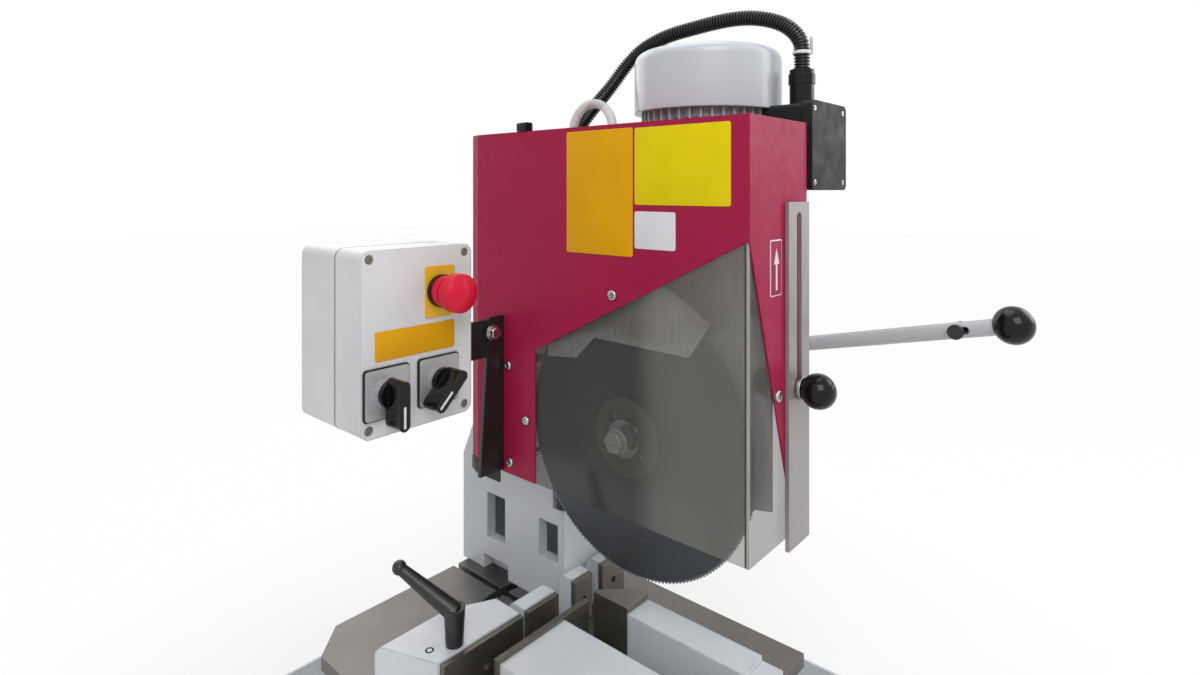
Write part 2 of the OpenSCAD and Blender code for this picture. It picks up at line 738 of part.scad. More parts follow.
module terminal_lid() color([0.09, 0.09, 0.10]) {
  difference() {
    xz(term_lid_y - term_lid_t, term_lid_t) rrect(term_x0, term_x1, term_z0, term_z1, 8);
    xz(term_lid_y - term_lid_t + 4, term_lid_t) rrect(term_x0 + 5, term_x1 - 5, term_z0 + 5, term_z1 - 5, 5);
    for (x = [term_x0 + 10, term_x1 - 10], z = [term_z0 + 10, term_z1 - 10])
      rod_y(4, term_lid_y - term_lid_t - 1, term_lid_y - term_lid_t + 2, x, z);
  }
}

// one gland, standing on the height given and ending at the top given
module gland(x, y, z0, z1) translate([x, y, 0]) difference() {
  union() {
    translate([0, 0, z0]) cylinder(d = gland_d, h = z1 - z0);
    translate([0, 0, z1 - 20]) cylinder(d = gland_d + 3, h = 14);
  }
  translate([0, 0, z0 - 1]) cylinder(d = conduit_bore - 2, h = z1 - z0 + 2);
  translate([0, 0, z1 - 13]) cylinder(d = conduit_d + 2 * slip, h = 30);
}

module cable_glands() color([0.08, 0.08, 0.08]) {
  gland(gland_x, gland_y, term_z1 - 3, gland_z);
  gland(route_end[0], route_end[1], slide_z1 + 10, route_end[2] + 12);
}

module conduit() color([0.07, 0.07, 0.07]) {
  m = 2 * rib_count;
  b = 60;
  ro = conduit_d / 2;
  outer = [for (k = [0 : m]) let (d = route_len * k / m) each
    ring_at(route_xyz(d), route_dirn(d), k % 2 == 0 || k < 10 || k > m - 10 ? ro - rib_h : ro)];
  inner = [for (k = [0 : b]) let (d = route_len * k / b) each
    ring_at(route_xyz(d), route_dirn(d), conduit_bore / 2)];
  i0 = 8 * (m + 1);
  faces = concat(
    [for (k = [0 : m - 1]) each skin(8 * k, 8 * k + 8)],
    [for (k = [0 : b - 1]) for (f = skin(i0 + 8 * k, i0 + 8 * k + 8)) [f[0], f[2], f[1]]],
    [for (f = skin(0, i0)) [f[0], f[2], f[1]]],
    skin(8 * m, i0 + 8 * b));
  polyhedron(points = concat(outer, inner), faces = faces, convexity = 6);
}

module coolant_hose() color([0.86, 0.88, 0.86]) {
  r = 37;
  z = bz + 412;
  x = hose_x;
  y = by + 81;
  translate([x, y, z]) rotate([90, 0, 90]) rotate_extrude(angle = 180) translate([r, 0]) difference() {
    circle(d = hose_d, $fn = 24);
    circle(d = hose_bore, $fn = 24);
  }
  for (s = [-1, 1]) difference() {
    rod_z(hose_d / 2, bz + 200, z, x, y + s * r);
    rod_z(hose_bore / 2, bz + 199, z + 1, x, y + s * r);
  }
}

// Hood

module hood_back() color([0.78, 0.79, 0.79]) {
  yz(back_x0, case_x0 - back_x0) difference() {
    polygon([[hf + sheet_t, ht - 12], [hf + sheet_t, cut_z1 + 30], [hf + 8, cut_z1 + 30], [hf + 8, bz - 50],
      [by - 150, bz - 58], [by + 120, bz - 58], [hb - 20, bz - 100], [hb - 20, ht - 12]]);
    translate([by, bz]) circle(d = flange_d + 6);
  }
}

module blade_hood() color([0.55, 0.04, 0.16]) {
  difference() {
    union() {
      yz(hl, sheet_t) polygon([[hf, cut_z1], [hf, ht], [hb, ht], [hb, hbot], [cut_y, hbot], [cut_y, cut_z0]]);
      xz(hf, sheet_t) polygon([[hl, cut_z1], [hl, ht], [hr, ht], [hr, hbot], [cut_x, hbot]]);
      box(hr - sheet_t, hr, hf, hf + return_w, hbot, ht);
      box(hl, hose_x - hose_d / 2 - slip, hf, hb, ht - sheet_t, ht);
      xy(hbot, hood_h) polygon([[hl, hb - 0.5], [hl + sheet_t, hb - 0.5], [hl + 10, hb + 22], [hl + 8, hb + 22]]);
    }
    for (p = post_holes) rod_x(3 + fit, hl - 1, hl + sheet_t + 1, p[0], p[1]);
  }
}

module hood_window() color([0.75, 0.76, 0.74, 0.4]) {
  x0 = hl + sheet_t;
  y0 = hf + sheet_t;
  yz(x0, window_t) difference() {
    polygon([[y0, hbot], [cut_y + window_lap, hbot], [cut_y + window_lap, cut_z0 + window_lap - 4],
      [y0, cut_z1 + window_lap]]);
    translate(post_holes[0]) circle(r = 6 + slip);
  }
  xz(y0, window_t) polygon([[x0, hbot], [cut_x + window_lap, hbot], [x0 + window_lap, cut_z1 + window_lap],
    [x0, cut_z1 + window_lap]]);
}

module hood_posts() color([0.70, 0.70, 0.70]) {
  for (p = post_holes) {
    rod_x(6, hl + sheet_t, back_x0, p[0], p[1]);
    rod_x(3, hl - 1, hl + sheet_t + 1, p[0], p[1]);
    rod_x(6, hl - 4, hl, p[0], p[1]);
  }
  rod_y(stud_d / 2, hf - 36, hf, knob_x, knob_z);
}

module inner_guard() color([0.80, 0.81, 0.82]) {
  x0 = hl + sheet_t + window_t + 8;
  yz(x0, sheet_t) difference() {
    polygon([[by - 74, bz + 212], [by - 142, bz + 171], [by - 112, bz + 127], [by + 38, bz + 130],
      [by + 70, bz + 98], [by + 125, bz + 92], [by + 125, bz + 128], [by + 20, bz + 180]]);
    translate(post_holes[0]) circle(r = 6 + slip);
  }
}

// upright bar and arm, welded
module box_bracket() color([0.07, 0.07, 0.07]) {
  xz(arm_y, 6) polygon([[hl - 44, hbot + 4], [hl, hbot + 4], [hl, bz + 142], [hl - 28, bz + 142]]);
  xz(arm_y + 6, 6) polygon([[bx0 + 40, bz + 84], [hl - 6, bz + 84], [hl - 6, bz + 138], [bx0 + 40, bz + 138]]);
  for (x = [bx0 + 54, bx1 - 14]) rod_y(10, box_back, arm_y + 6, x, bz + 111);
}

module control_box() color([0.80, 0.81, 0.83]) {
  z1 = box_z0 + box_h;
  difference() {
    xz(box_mid, box_d) rrect(bx0, bx1, box_z0, z1, box_r);
    xz(box_mid - 1, box_d - box_wall + 1)
      rrect(bx0 + box_wall, bx1 - box_wall, box_z0 + box_wall, z1 - box_wall, box_r - box_wall);
  }
}

module control_lid() color([0.82, 0.83, 0.85]) {
  z1 = box_z0 + box_h;
  difference() {
    xz(box_face, lid_d) rrect(bx0, bx1, box_z0, z1, box_r);
    xz(box_face + box_wall, lid_d)
      rrect(bx0 + box_wall, bx1 - box_wall, box_z0 + box_wall, z1 - box_wall, box_r - box_wall);
    for (x = [bx0 + 9, bx1 - 9], z = [box_z0 + 9, z1 - 9]) rod_y(4.5, box_face - 1, box_face + 2, x, z);
    for (x = plate_x) rod_y(6, box_face - 1, box_face + 6, x, plate_z);
    rod_y(11, box_face - 1, box_face + 6, stop_x, stop_z);
  }
}

// Controls: a square plate with a collar for each knob

module switch_plates() color([0.75, 0.75, 0.76]) {
  for (x = plate_x) difference() {
    union() {
      xz(box_face - 4, 4) rrect(x - plate_w / 2, x + plate_w / 2, plate_z - plate_w / 2, plate_z + plate_w / 2, 3);
      rod_y(15, box_face - 9, box_face - 4, x, plate_z);
      rod_y(11, box_face + box_wall, box_face + 30, x, plate_z);
      rod_y(6 - fit, box_face - 4, box_face + box_wall, x, plate_z);
    }
    rod_y(4 + fit, box_face - 10, box_face + 12, x, plate_z);
  }
}

module stop_collar() color([0.85, 0.68, 0.10]) {
  difference() {
    union() {
      xz(box_face - 2, 2) rrect(stop_x - 18, stop_x + 18, stop_z - 27, stop_z + 26, 2);
      rod_y(14, box_face - 18, box_face - 2, stop_x, stop_z);
      rod_y(11 - fit, box_face - 2, box_face + 30, stop_x, stop_z);
    }
    rod_y(8 + fit, box_face - 20, box_face + 24, stop_x, stop_z);
  }
}

// Feed lever

module feed_shaft() color([0.60, 0.60, 0.60]) {
  rod_x(feed_shaft_d / 2, chamber_x0 - 12, lever_x + 18, feed_y, feed_z);
  rod_x(26, case_x1 + 8 + slip, lever_x + 14, feed_y, feed_z);
}

module feed_sector() color([0.50, 0.50, 0.50]) {
  i0 = -ceil(feed_travel / feed_pitch) - 4;
  i1 = 3;
  yz(chamber_x0 + 1, sector_t) translate([feed_y, feed_z]) difference() {
    union() {
      polygon(concat([[0, 0]], gear_run(i0, i1, feed_module, feed_teeth, feed_module, 1.25 * feed_module, feed_play)));
      circle(r = 30);
    }
    circle(r = feed_shaft_d / 2 + fit);
    for (a = [-58, -30, -2]) rotate(a) translate([feed_r * 0.62, 0]) circle(r = 14);
  }
}

module along_lever() translate([lever_x, feed_y, feed_z]) rotate([90 - lever_rise, 0, 0]) children();

module lever_tube() color([0.86, 0.87, 0.87]) {
  difference() {
    along_lever() translate([0, 0, 26 + slip]) cylinder(d = lever_d, h = lever_len - 26 - lever_ball_d / 2 + 4);
    along_lever() translate([0, 0, 40]) cylinder(d = lever_d - 6, h = lever_len - 40 - lever_ball_d / 2);
    along_lever() for (k = [0, 1]) translate([0, 0, release_at + k * release_travel])
      rotate([0, 90, 0]) cylinder(d = release_d + 2 * slip, h = lever_d + 10, center = true);
    along_lever() translate([-lever_d, -release_d / 2 - slip, release_at])
      cube([2 * lever_d, release_d + 2 * slip, release_travel]);
  }
}

module lever_ball() color([0.04, 0.04, 0.04]) {
  difference() {
    along_lever() translate([0, 0, lever_len]) sphere(d = lever_ball_d, $fn = 64);
    along_lever() translate([0, 0, lever_len - lever_ball_d]) cylinder(d = lever_d + 2 * fit,
      h = lever_ball_d / 2 + 4 + slip + fit);
  }
}

module release_pin() color([0.08, 0.08, 0.08]) {
  along_lever() translate([0, 0, release_at]) rotate([0, 90, 0]) {
    cylinder(d = release_d, h = lever_d + 8, center = true);
    for (s = [-1, 1]) translate([0, 0, s * (lever_d / 2 + slip + 3)]) cylinder(r = 9, h = 6, center = true);
  }
}

// Blade and drive

module saw_blade() color([0.35, 0.36, 0.38]) {
  r = blade_d / 2;
  n = blade_teeth;
  yz(-blade_t / 2, blade_t) translate([by, bz]) difference() {
    polygon([for (i = [0 : n - 1]) each [r * [cos(360 * i / n), sin(360 * i / n)],
      (r - tooth_h) * [cos(360 * (i + 0.25) / n), sin(360 * (i + 0.25) / n)]]]);
    circle(r = arbor_d / 2 + fit);
    for (i = [0 : pin_count - 1]) rotate(45 + i * 360 / pin_count) translate([pin_circle / 2, 0])
      circle(r = pin_d / 2 + fit);
  }
}

module arbor() color([0.55, 0.55, 0.56]) {
  difference() {
    union() {
      rod_x(arbor_d / 2, -in1 + 3, arbor_end, by, bz);
      rod_x(flange_d / 2, in0, in1, by, bz);
      for (i = [0 : pin_count - 1]) rod_x(pin_d / 2, -in1 + 4, in0 + 1,
        by + pin_circle / 2 * cos(45 + i * 360 / pin_count), bz + pin_circle / 2 * sin(45 + i * 360 / pin_count));
    }
    rod_x(8 + fit, -in1, 34, by, bz);
  }
}

module clamp_flange() color([0.50, 0.51, 0.52]) {
  difference() {
    rod_x(flange_d / 2, -in1, -in0, by, bz);
    rod_x(arbor_d / 2 + fit, -in1 - 1, in0, by, bz);
    for (i = [0 : pin_count - 1]) rod_x(pin_d / 2 + fit, -in1 - 1, in0,
      by + pin_circle / 2 * cos(45 + i * 360 / pin_count), bz + pin_circle / 2 * sin(45 + i * 360 / pin_count));
  }
}

module arbor_bolt() color([0.72, 0.72, 0.72]) {
  rod_x(8, -in1, 30, by, bz);
  rod_x(25, -in1 - 5, -in1, by, bz);
  translate([-in1 - 17, by, bz]) rotate([0, 90, 0]) cylinder(r = 14, h = 12, $fn = 6);
}

module worm_wheel() color([0.72, 0.55, 0.26]) {
  yz(wheel_x0, wheel_w) translate([by, bz]) difference() {
    polygon(gear_run(0, worm_teeth - 1, worm_module, worm_teeth, 0.9 * worm_module, 1.2 * worm_module, 2.2));
    circle(r = arbor_d / 2 + fit);
  }
}

// worm thread as one closed band of four-cornered rings
module worm_shaft() color([0.58, 0.58, 0.59]) {
  q = 16;
  n = floor(worm_len / worm_pitch) * q;
  r0 = worm_d / 2 - 1.1 * worm_module;
  r1 = worm_d / 2 + 0.8 * worm_module;
  z0 = bz + worm_pitch / 2 - worm_pitch * (floor(n / q / 2) + 0.25);
  pts = [for (k = [0 : n]) let (a = 360 * k / q, z = z0 + worm_pitch * k / q) each
    [for (c = [[r0 - 0.6, -2.6], [r1, -0.8], [r1, 0.8], [r0 - 0.6, 2.6]]) [c[0] * cos(a), c[0] * sin(a), z + c[1]]]];
  faces = concat([[0, 2, 1], [0, 3, 2]], [[4 * n, 4 * n + 1, 4 * n + 2], [4 * n, 4 * n + 2, 4 * n + 3]],
    [for (k = [0 : n - 1], j = [0 : 3]) let (u = (j + 1) % 4) each
      [[4 * k + j, 4 * k + 4 + u, 4 * k + 4 + j], [4 * k + j, 4 * k + u, 4 * k + 4 + u]]]);
  translate([motor_x, worm_y, 0]) {
    translate([0, 0, bz - worm_len / 2 - 18]) cylinder(d = shaft_d, h = cowl_z0 + 52 - bz + worm_len / 2 + 18);
    translate([0, 0, bz - worm_len / 2 - 4]) cylinder(r = r0, h = worm_len + 8);
    polyhedron(points = pts, faces = faces, convexity = 8);
  }
}

// rotor and fan on the motor shaft
module motor_rotor() color([0.62, 0.63, 0.64]) {
  translate([motor_x, worm_y, 0]) {
    difference() {
      translate([0, 0, frame_z0 + 42]) cylinder(d = rotor_d, h = motor_len - 80);
      translate([0, 0, frame_z0]) cylinder(d = shaft_d + 2 * fit, h = motor_len);
    }
    difference() {
      union() {
        translate([0, 0, cowl_z0 + 14]) cylinder(r = 22, h = 32);
        translate([0, 0, cowl_z0 + 14]) cylinder(d = fan_d, h = 3);
        for (i = [0 : fan_blades - 1]) rotate(i * 360 / fan_blades) translate([18, -1.5, cowl_z0 + 14])
          cube([fan_d / 2 - 20, 3, 30]);
      }
      translate([0, 0, cowl_z0]) cylinder(d = shaft_d + 2 * fit, h = 60);
    }
  }
}

module guard_strip() color([0.66, 0.66, 0.67]) {
  x0 = knob_x - strip_w / 2;
  xz(strip_y0, strip_t) difference() {
    translate([x0, strip_z0]) square([strip_w, strip_len]);
    translate([knob_x - strip_slot / 2, knob_z]) square([strip_slot, strip_travel + 85]);
    for (z = [knob_z, knob_z + strip_travel + 85]) translate([knob_x, z]) circle(d = strip_slot);
  }
}

module guard_knob() color([0.04, 0.04, 0.04]) {
  y1 = strip_y0 - slip;
  difference() {
    union() {
      translate([knob_x, hf - 29, knob_z]) sphere(d = knob_d, $fn = 64);
      rod_y(11, hf - 29, y1, knob_x, knob_z);
    }
    rod_y(stud_d / 2 + fit, hf - 38, hf, knob_x, knob_z);
    box(knob_x - 30, knob_x + 30, y1, y1 + 30, knob_z - 30, knob_z + 30);
  }
}

module stop_button() color([0.75, 0.05, 0.10]) {
  y0 = box_face - 18 - stop_travel - 2;
  rod_y(8, y0, box_face + 16, stop_x, stop_z);
  difference() {
    union() {
      rod_y(mushroom_d / 2, y0 - 12, y0, stop_x, stop_z);
      translate([stop_x, y0 - 12, stop_z]) rotate([90, 0, 0]) rotate_extrude() intersection() {
        translate([0, -24]) circle(r = norm([mushroom_d / 2, 24]));
        square([mushroom_d / 2, 20]);
      }
    }
    rod_y(mushroom_d / 2 - 4, y0 - 3, y0 + 1, stop_x, stop_z);
  }
  rod_y(8, y0 - 6, y0, stop_x, stop_z);
}

// cam switch knob with a bar grip that points down at no turn
module switch_knob(x, turn) translate([x, box_face - 9 - slip, plate_z]) rotate([90, turn, 0]) {
  translate([0, 0, -18]) cylinder(r = 4, h = 20);
  cylinder(r = 14, h = 5);
  linear_extrude(24) {
    translate([-6, -26]) square([12, 36]);
    translate([0, 10]) circle(r = 6);
    translate([0, -26]) circle(r = 6);
  }
}
module main_knob() color([0.05, 0.05, 0.05]) switch_knob(plate_x[0], 0);
module mode_knob() color([0.05, 0.05, 0.05]) switch_knob(plate_x[1], 45);

chip_tray();
bed_casting();
table_left();
table_right();
fence_left();
fence_blocks();
fence_plates();
screw_bracket();
left_jaw();
left_jaw_plate();
right_jaw();
right_jaw_block();
vise_yoke();
vise_screw();
handwheel();
clamp_handle();
column_casting();
guide_rails();
feed_rack();
swivel_bolts();
strut_tube();
strut_rod();
head_housing();
head_slide();
spindle_bearings();
motor_frame();
motor_stator();
fan_cowl();
terminal_box();
terminal_lid();
cable_glands();
conduit();
coolant_hose();
hood_back();
blade_hood();
hood_window();
hood_posts();
inner_guard();
box_bracket();
control_box();
control_lid();
switch_plates();
stop_collar();
feed_shaft();
feed_sector();
lever_tube();
lever_ball();
release_pin();
saw_blade();
arbor();
clamp_flange();
arbor_bolt();
worm_wheel();
worm_shaft();
motor_rotor();
guard_strip();
guard_knob();
stop_button();
main_knob();
mode_knob();
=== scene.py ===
import json
import math
import bpy
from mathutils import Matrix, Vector


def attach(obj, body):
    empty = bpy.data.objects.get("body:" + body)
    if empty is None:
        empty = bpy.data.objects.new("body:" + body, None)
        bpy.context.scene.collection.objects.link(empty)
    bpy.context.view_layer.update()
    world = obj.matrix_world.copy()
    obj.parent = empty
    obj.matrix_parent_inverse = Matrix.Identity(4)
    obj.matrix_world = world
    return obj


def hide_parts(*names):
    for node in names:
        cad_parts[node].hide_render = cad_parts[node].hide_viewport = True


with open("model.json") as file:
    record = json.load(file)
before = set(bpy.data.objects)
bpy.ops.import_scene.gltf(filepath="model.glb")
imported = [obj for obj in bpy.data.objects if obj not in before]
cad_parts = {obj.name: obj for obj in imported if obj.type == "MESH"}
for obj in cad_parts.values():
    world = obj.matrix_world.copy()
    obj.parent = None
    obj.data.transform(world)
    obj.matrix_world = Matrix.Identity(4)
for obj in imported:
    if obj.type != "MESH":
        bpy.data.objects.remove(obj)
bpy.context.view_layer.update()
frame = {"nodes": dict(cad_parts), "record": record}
nodes = frame["nodes"]
scene = bpy.context.scene
scene.view_settings.view_transform = "Standard"
bpy.ops.object.select_all(action="DESELECT")
print("frame loaded with", len(nodes), "nodes")

# Camera at the photograph's place, level, with the horizon high in the picture
cameraSet = {"place": (-0.7112, -0.6703, 0.785), "yaw": -49.104, "lens": 20.4, "sensor": 36,
             "shiftY": -0.1234, "nearest": 0.02}
cameraTurn = (math.pi / 2, 0, math.radians(cameraSet["yaw"]))
bpy.ops.object.camera_add(location=cameraSet["place"], rotation=cameraTurn)
camera = bpy.context.object
camera.name = "photoCamera"
camera.data.sensor_width = cameraSet["sensor"]
camera.data.lens = cameraSet["lens"]
camera.data.shift_y = cameraSet["shiftY"]
camera.data.clip_start = cameraSet["nearest"]
scene.camera = camera
print("camera set")


# Small helpers for modelling by hand
smoothAngle = math.radians(35)


def letGo():
    bpy.ops.object.select_all(action="DESELECT")


def takeUp(piece):
    letGo()
    piece.select_set(True)
    bpy.context.view_layer.objects.active = piece


def pickFaces(piece, test):
    takeUp(piece)
    bpy.ops.object.mode_set(mode="EDIT")
    bpy.ops.mesh.select_mode(type="FACE")
    bpy.ops.mesh.select_all(action="DESELECT")
    bpy.ops.object.mode_set(mode="OBJECT")
    for face in piece.data.polygons:
        face.select = test(face.center, face.normal)
    bpy.ops.object.mode_set(mode="EDIT")


def pickEdges(piece, test):
    takeUp(piece)
    bpy.ops.object.mode_set(mode="EDIT")
    bpy.ops.mesh.select_mode(type="EDGE")
    bpy.ops.mesh.select_all(action="DESELECT")
    bpy.ops.object.mode_set(mode="OBJECT")
    points = piece.data.vertices
    for edge in piece.data.edges:
        edge.select = test(points[edge.vertices[0]].co, points[edge.vertices[1]].co)
    bpy.ops.object.mode_set(mode="EDIT")


def pickAll():
    bpy.ops.object.mode_set(mode="EDIT")
    bpy.ops.mesh.select_all(action="SELECT")


def backToObject():
    bpy.ops.object.mode_set(mode="OBJECT")


def pushOut(move, size=(1, 1, 1)):
    bpy.ops.mesh.extrude_region_move(TRANSFORM_OT_translate={"value": move})
    bpy.ops.transform.resize(value=size)


def settle(piece):
    takeUp(piece)
    bpy.ops.object.transform_apply(location=True, rotation=True, scale=True)


def softenEdges(piece, width):
    takeUp(piece)
    mod = piece.modifiers.new("softEdges", "BEVEL")
    mod.width = width
    mod.segments = 2
    mod.limit_method = "ANGLE"
    mod.angle_limit = math.radians(40)
    bpy.ops.object.modifier_apply(modifier=mod.name)
    bpy.ops.object.shade_smooth_by_angle(angle=smoothAngle)


def thicken(piece, depth):
    takeUp(piece)
    mod = piece.modifiers.new("thick", "SOLIDIFY")
    mod.thickness = depth
    mod.offset = 0
    bpy.ops.object.modifier_apply(modifier=mod.name)


def setCopy(source, name, place, turn):
    takeUp(source)
    bpy.ops.object.duplicate()
    copy = bpy.context.object
    copy.name = name
    copy.location = place
    copy.rotation_euler = turn
    settle(copy)
    return copy


def joinAs(name, pieces):
    letGo()
    for piece in pieces:
        piece.select_set(True)
    bpy.context.view_layer.objects.active = pieces[0]
    if len(pieces) > 1:
        bpy.ops.object.join()
    joined = bpy.context.object
    joined.name = name
    return joined


def dress(piece, body, material):
    piece.data.materials.clear()
    piece.data.materials.append(material)
    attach(piece, body)


# Turns that point a piece's own +Z along a direction
turnTo = {"-x": (0, -math.pi / 2, 0), "+x": (0, math.pi / 2, 0), "-y": (math.pi / 2, 0, 0), "+z": (0, 0, 0)}


# Materials: each starts from the object's own coordinates

def tone(red, green, blue):
    def straight(c):
        c = c / 255
        return c / 12.92 if c <= 0.04045 else ((c + 0.055) / 1.055) ** 2.4
    return (straight(red), straight(green), straight(blue), 1)


def shade(colour, k):
    return (min(1, colour[0] * k), min(1, colour[1] * k), min(1, colour[2] * k), 1)


def startMaterial(name):
    material = bpy.data.materials.new(name)
    material.use_nodes = True
    tree = material.node_tree
    coords = tree.nodes.new("ShaderNodeTexCoord").outputs["Object"]
    return material, tree, tree.nodes["Principled BSDF"], coords


def mapped(tree, coords, scale=(1, 1, 1), place=(0, 0, 0)):
    mapping = tree.nodes.new("ShaderNodeMapping")
    mapping.inputs["Location"].default_value = place
    mapping.inputs["Scale"].default_value = scale
    tree.links.new(coords, mapping.inputs["Vector"])
    return mapping.outputs["Vector"]


def cloudy(tree, vector, scale, detail, rough=0.55):
    noise = tree.nodes.new("ShaderNodeTexNoise")
    noise.inputs["Scale"].default_value = scale
    noise.inputs["Detail"].default_value = detail
    noise.inputs["Roughness"].default_value = rough
    tree.links.new(vector, noise.inputs["Vector"])
    return noise.outputs["Fac"]


def toned(tree, factor, base, dark, pale, ends=(0.3, 0.7)):
    ramp = tree.nodes.new("ShaderNodeValToRGB")
    for stop, place, share in zip(ramp.color_ramp.elements, ends, (dark, pale)):
        stop.position = place
        stop.color = shade(base, share)
    tree.links.new(factor, ramp.inputs["Fac"])
    return ramp.outputs["Color"]


def ranged(tree, value, low, high, fromLow=0.3, fromHigh=0.7):
    span = tree.nodes.new("ShaderNodeMapRange")
    span.inputs["From Min"].default_value = fromLow
    span.inputs["From Max"].default_value = fromHigh
    span.inputs["To Min"].default_value = low
    span.inputs["To Max"].default_value = high
    tree.links.new(value, span.inputs["Value"])
    return span.outputs["Result"]


def blended(tree, factor, first, second):
    mix = tree.nodes.new("ShaderNodeMix")
    mix.data_type = "RGBA"
    tree.links.new(factor, mix.inputs[0])
    for spot, value in ((6, first), (7, second)):
        if isinstance(value, tuple):
            mix.inputs[spot].default_value = value
        else:
            tree.links.new(value, mix.inputs[spot])
    return mix.outputs[2]


def maths(tree, operation, first, second=None):
    node = tree.nodes.new("ShaderNodeMath")
    node.operation = operation
    for spot, value in ((0, first), (1, second)):
        if value is None:
            continue
        if isinstance(value, (int, float)):
            node.inputs[spot].default_value = value
        else:
            tree.links.new(value, node.inputs[spot])
    return node.outputs[0]


def roundedNormal(tree, radius):
    bevel = tree.nodes.new("ShaderNodeBevel")
    bevel.samples = 4
    bevel.inputs["Radius"].default_value = radius
    return bevel.outputs["Normal"]


def bumped(tree, height, strength, distance, normal=None):
    bump = tree.nodes.new("ShaderNodeBump")
    bump.inputs["Strength"].default_value = strength
    bump.inputs["Distance"].default_value = distance
    tree.links.new(height, bump.inputs["Height"])
    if normal is not None:
        tree.links.new(normal, bump.inputs["Normal"])
    return bump.outputs["Normal"]


def lengthOf(tree, vector):
    length = tree.nodes.new("ShaderNodeVectorMath")
    length.operation = "LENGTH"
    tree.links.new(vector, length.inputs[0])
    return length.outputs["Value"]


# Numbers that the finishes share: noise as scale, detail and roughness, gloss as shares of the roughness
cloud = {"paint": (7, 3), "plastic": (9, 3), "dust": (60, 5, 0.65), "touch": (38, 5, 0.65),
         "stain": (16, 4, 0.6), "bladeStain": (22, 5, 0.6), "patch": (45, 5, 0.7), "smear": (9, 6, 0.65),
         "dull": (50, 4), "floor": (1.5, 2)}
glossShare = {"paint": (0.85, 1.2), "metal": (0.8, 1.25), "blade": (0.8, 1.2), "plastic": (0.8, 1.3),
              "clear": (0.6, 1.6)}
bumpDepth = {"paint": 0.0006, "plastic": 0.0005, "metal": 0.0004, "stack": 0.0004, "blade": 0.0003}
edgeWear = {"turned": (0.02, 0.20), "patch": (0.42, 0.62)}
metalTone = {"streak": (5, 0.6), "dark": 0.80, "pale": 1.14, "ends": (0.25, 0.75), "stainFrom": (0.45, 0.75),
             "stained": 0.62, "rubShare": 0.6, "rubbed": 1.35}
plasticTone = {"dark": 0.94, "pale": 1.06, "rubShare": 0.5}
clearTone = {"stretch": (1, 1.6, 0.5), "dark": 0.86, "pale": 1.12, "streaks": (0.75, 1.0)}


def setRough(tree, shader, value, rough, share):
    tree.links.new(ranged(tree, value, rough * share[0], rough * share[1]), shader.inputs["Roughness"])


# Patchy wear where the rounded edges leave the flat face
def edgeMask(tree, normal, coords):
    geometry = tree.nodes.new("ShaderNodeNewGeometry")
    dot = tree.nodes.new("ShaderNodeVectorMath")
    dot.operation = "DOT_PRODUCT"
    tree.links.new(normal, dot.inputs[0])
    tree.links.new(geometry.outputs["Normal"], dot.inputs[1])
    bare = maths(tree, "SUBTRACT", 1.0, dot.outputs["Value"])
    worn = ranged(tree, bare, 0, 1, *edgeWear["turned"])
    patches = ranged(tree, cloudy(tree, coords, *cloud["patch"]), 0, 1, *edgeWear["patch"])
    return maths(tree, "MULTIPLY", worn, patches)


def paintFinish(name, look):
    material, tree, shader, coords = startMaterial(name)
    drift = cloudy(tree, coords, *cloud["paint"])
    colour = toned(tree, drift, look["colour"], 1 - look["drift"], 1 + look["drift"])
    normal = roundedNormal(tree, look["edge"])
    if look.get("wear"):
        colour = blended(tree, edgeMask(tree, normal, coords), colour, look["wear"])
    tree.links.new(colour, shader.inputs["Base Color"])
    setRough(tree, shader, cloudy(tree, coords, *cloud["dust"]), look["rough"], glossShare["paint"])
    skin = cloudy(tree, coords, look["grainScale"], detail=2)
    tree.links.new(bumped(tree, skin, look["grain"], bumpDepth["paint"], normal), shader.inputs["Normal"])
    shader.inputs["Coat Weight"].default_value = look.get("coat", 0)
    shader.inputs["Coat Roughness"].default_value = 0.08
    shader.inputs["Specular IOR Level"].default_value = look.get("specular", 0.5)
    shader.inputs["Metallic"].default_value = 0
    return material


def metalFinish(name, look):
    material, tree, shader, coords = startMaterial(name)
    base = look["colour"]
    streaks = cloudy(tree, mapped(tree, coords, look["streak"]), look["streakScale"], *metalTone["streak"])
    fine = toned(tree, streaks, base, metalTone["dark"], metalTone["pale"], metalTone["ends"])
    stains = cloudy(tree, coords, *cloud["stain"])
    stained = ranged(tree, stains, 0, look["stain"], *metalTone["stainFrom"])
    colour = blended(tree, stained, fine, shade(base, metalTone["stained"]))
    normal = roundedNormal(tree, look["edge"])
    rubbed = maths(tree, "MULTIPLY", edgeMask(tree, normal, coords), metalTone["rubShare"])
    colour = blended(tree, rubbed, colour, shade(base, metalTone["rubbed"]))
    tree.links.new(colour, shader.inputs["Base Color"])
    setRough(tree, shader, streaks, look["rough"], glossShare["metal"])
    tree.links.new(bumped(tree, streaks, look["grain"], bumpDepth["metal"], normal), shader.inputs["Normal"])
    shader.inputs["Metallic"].default_value = look.get("metallic", 1.0)
    return material


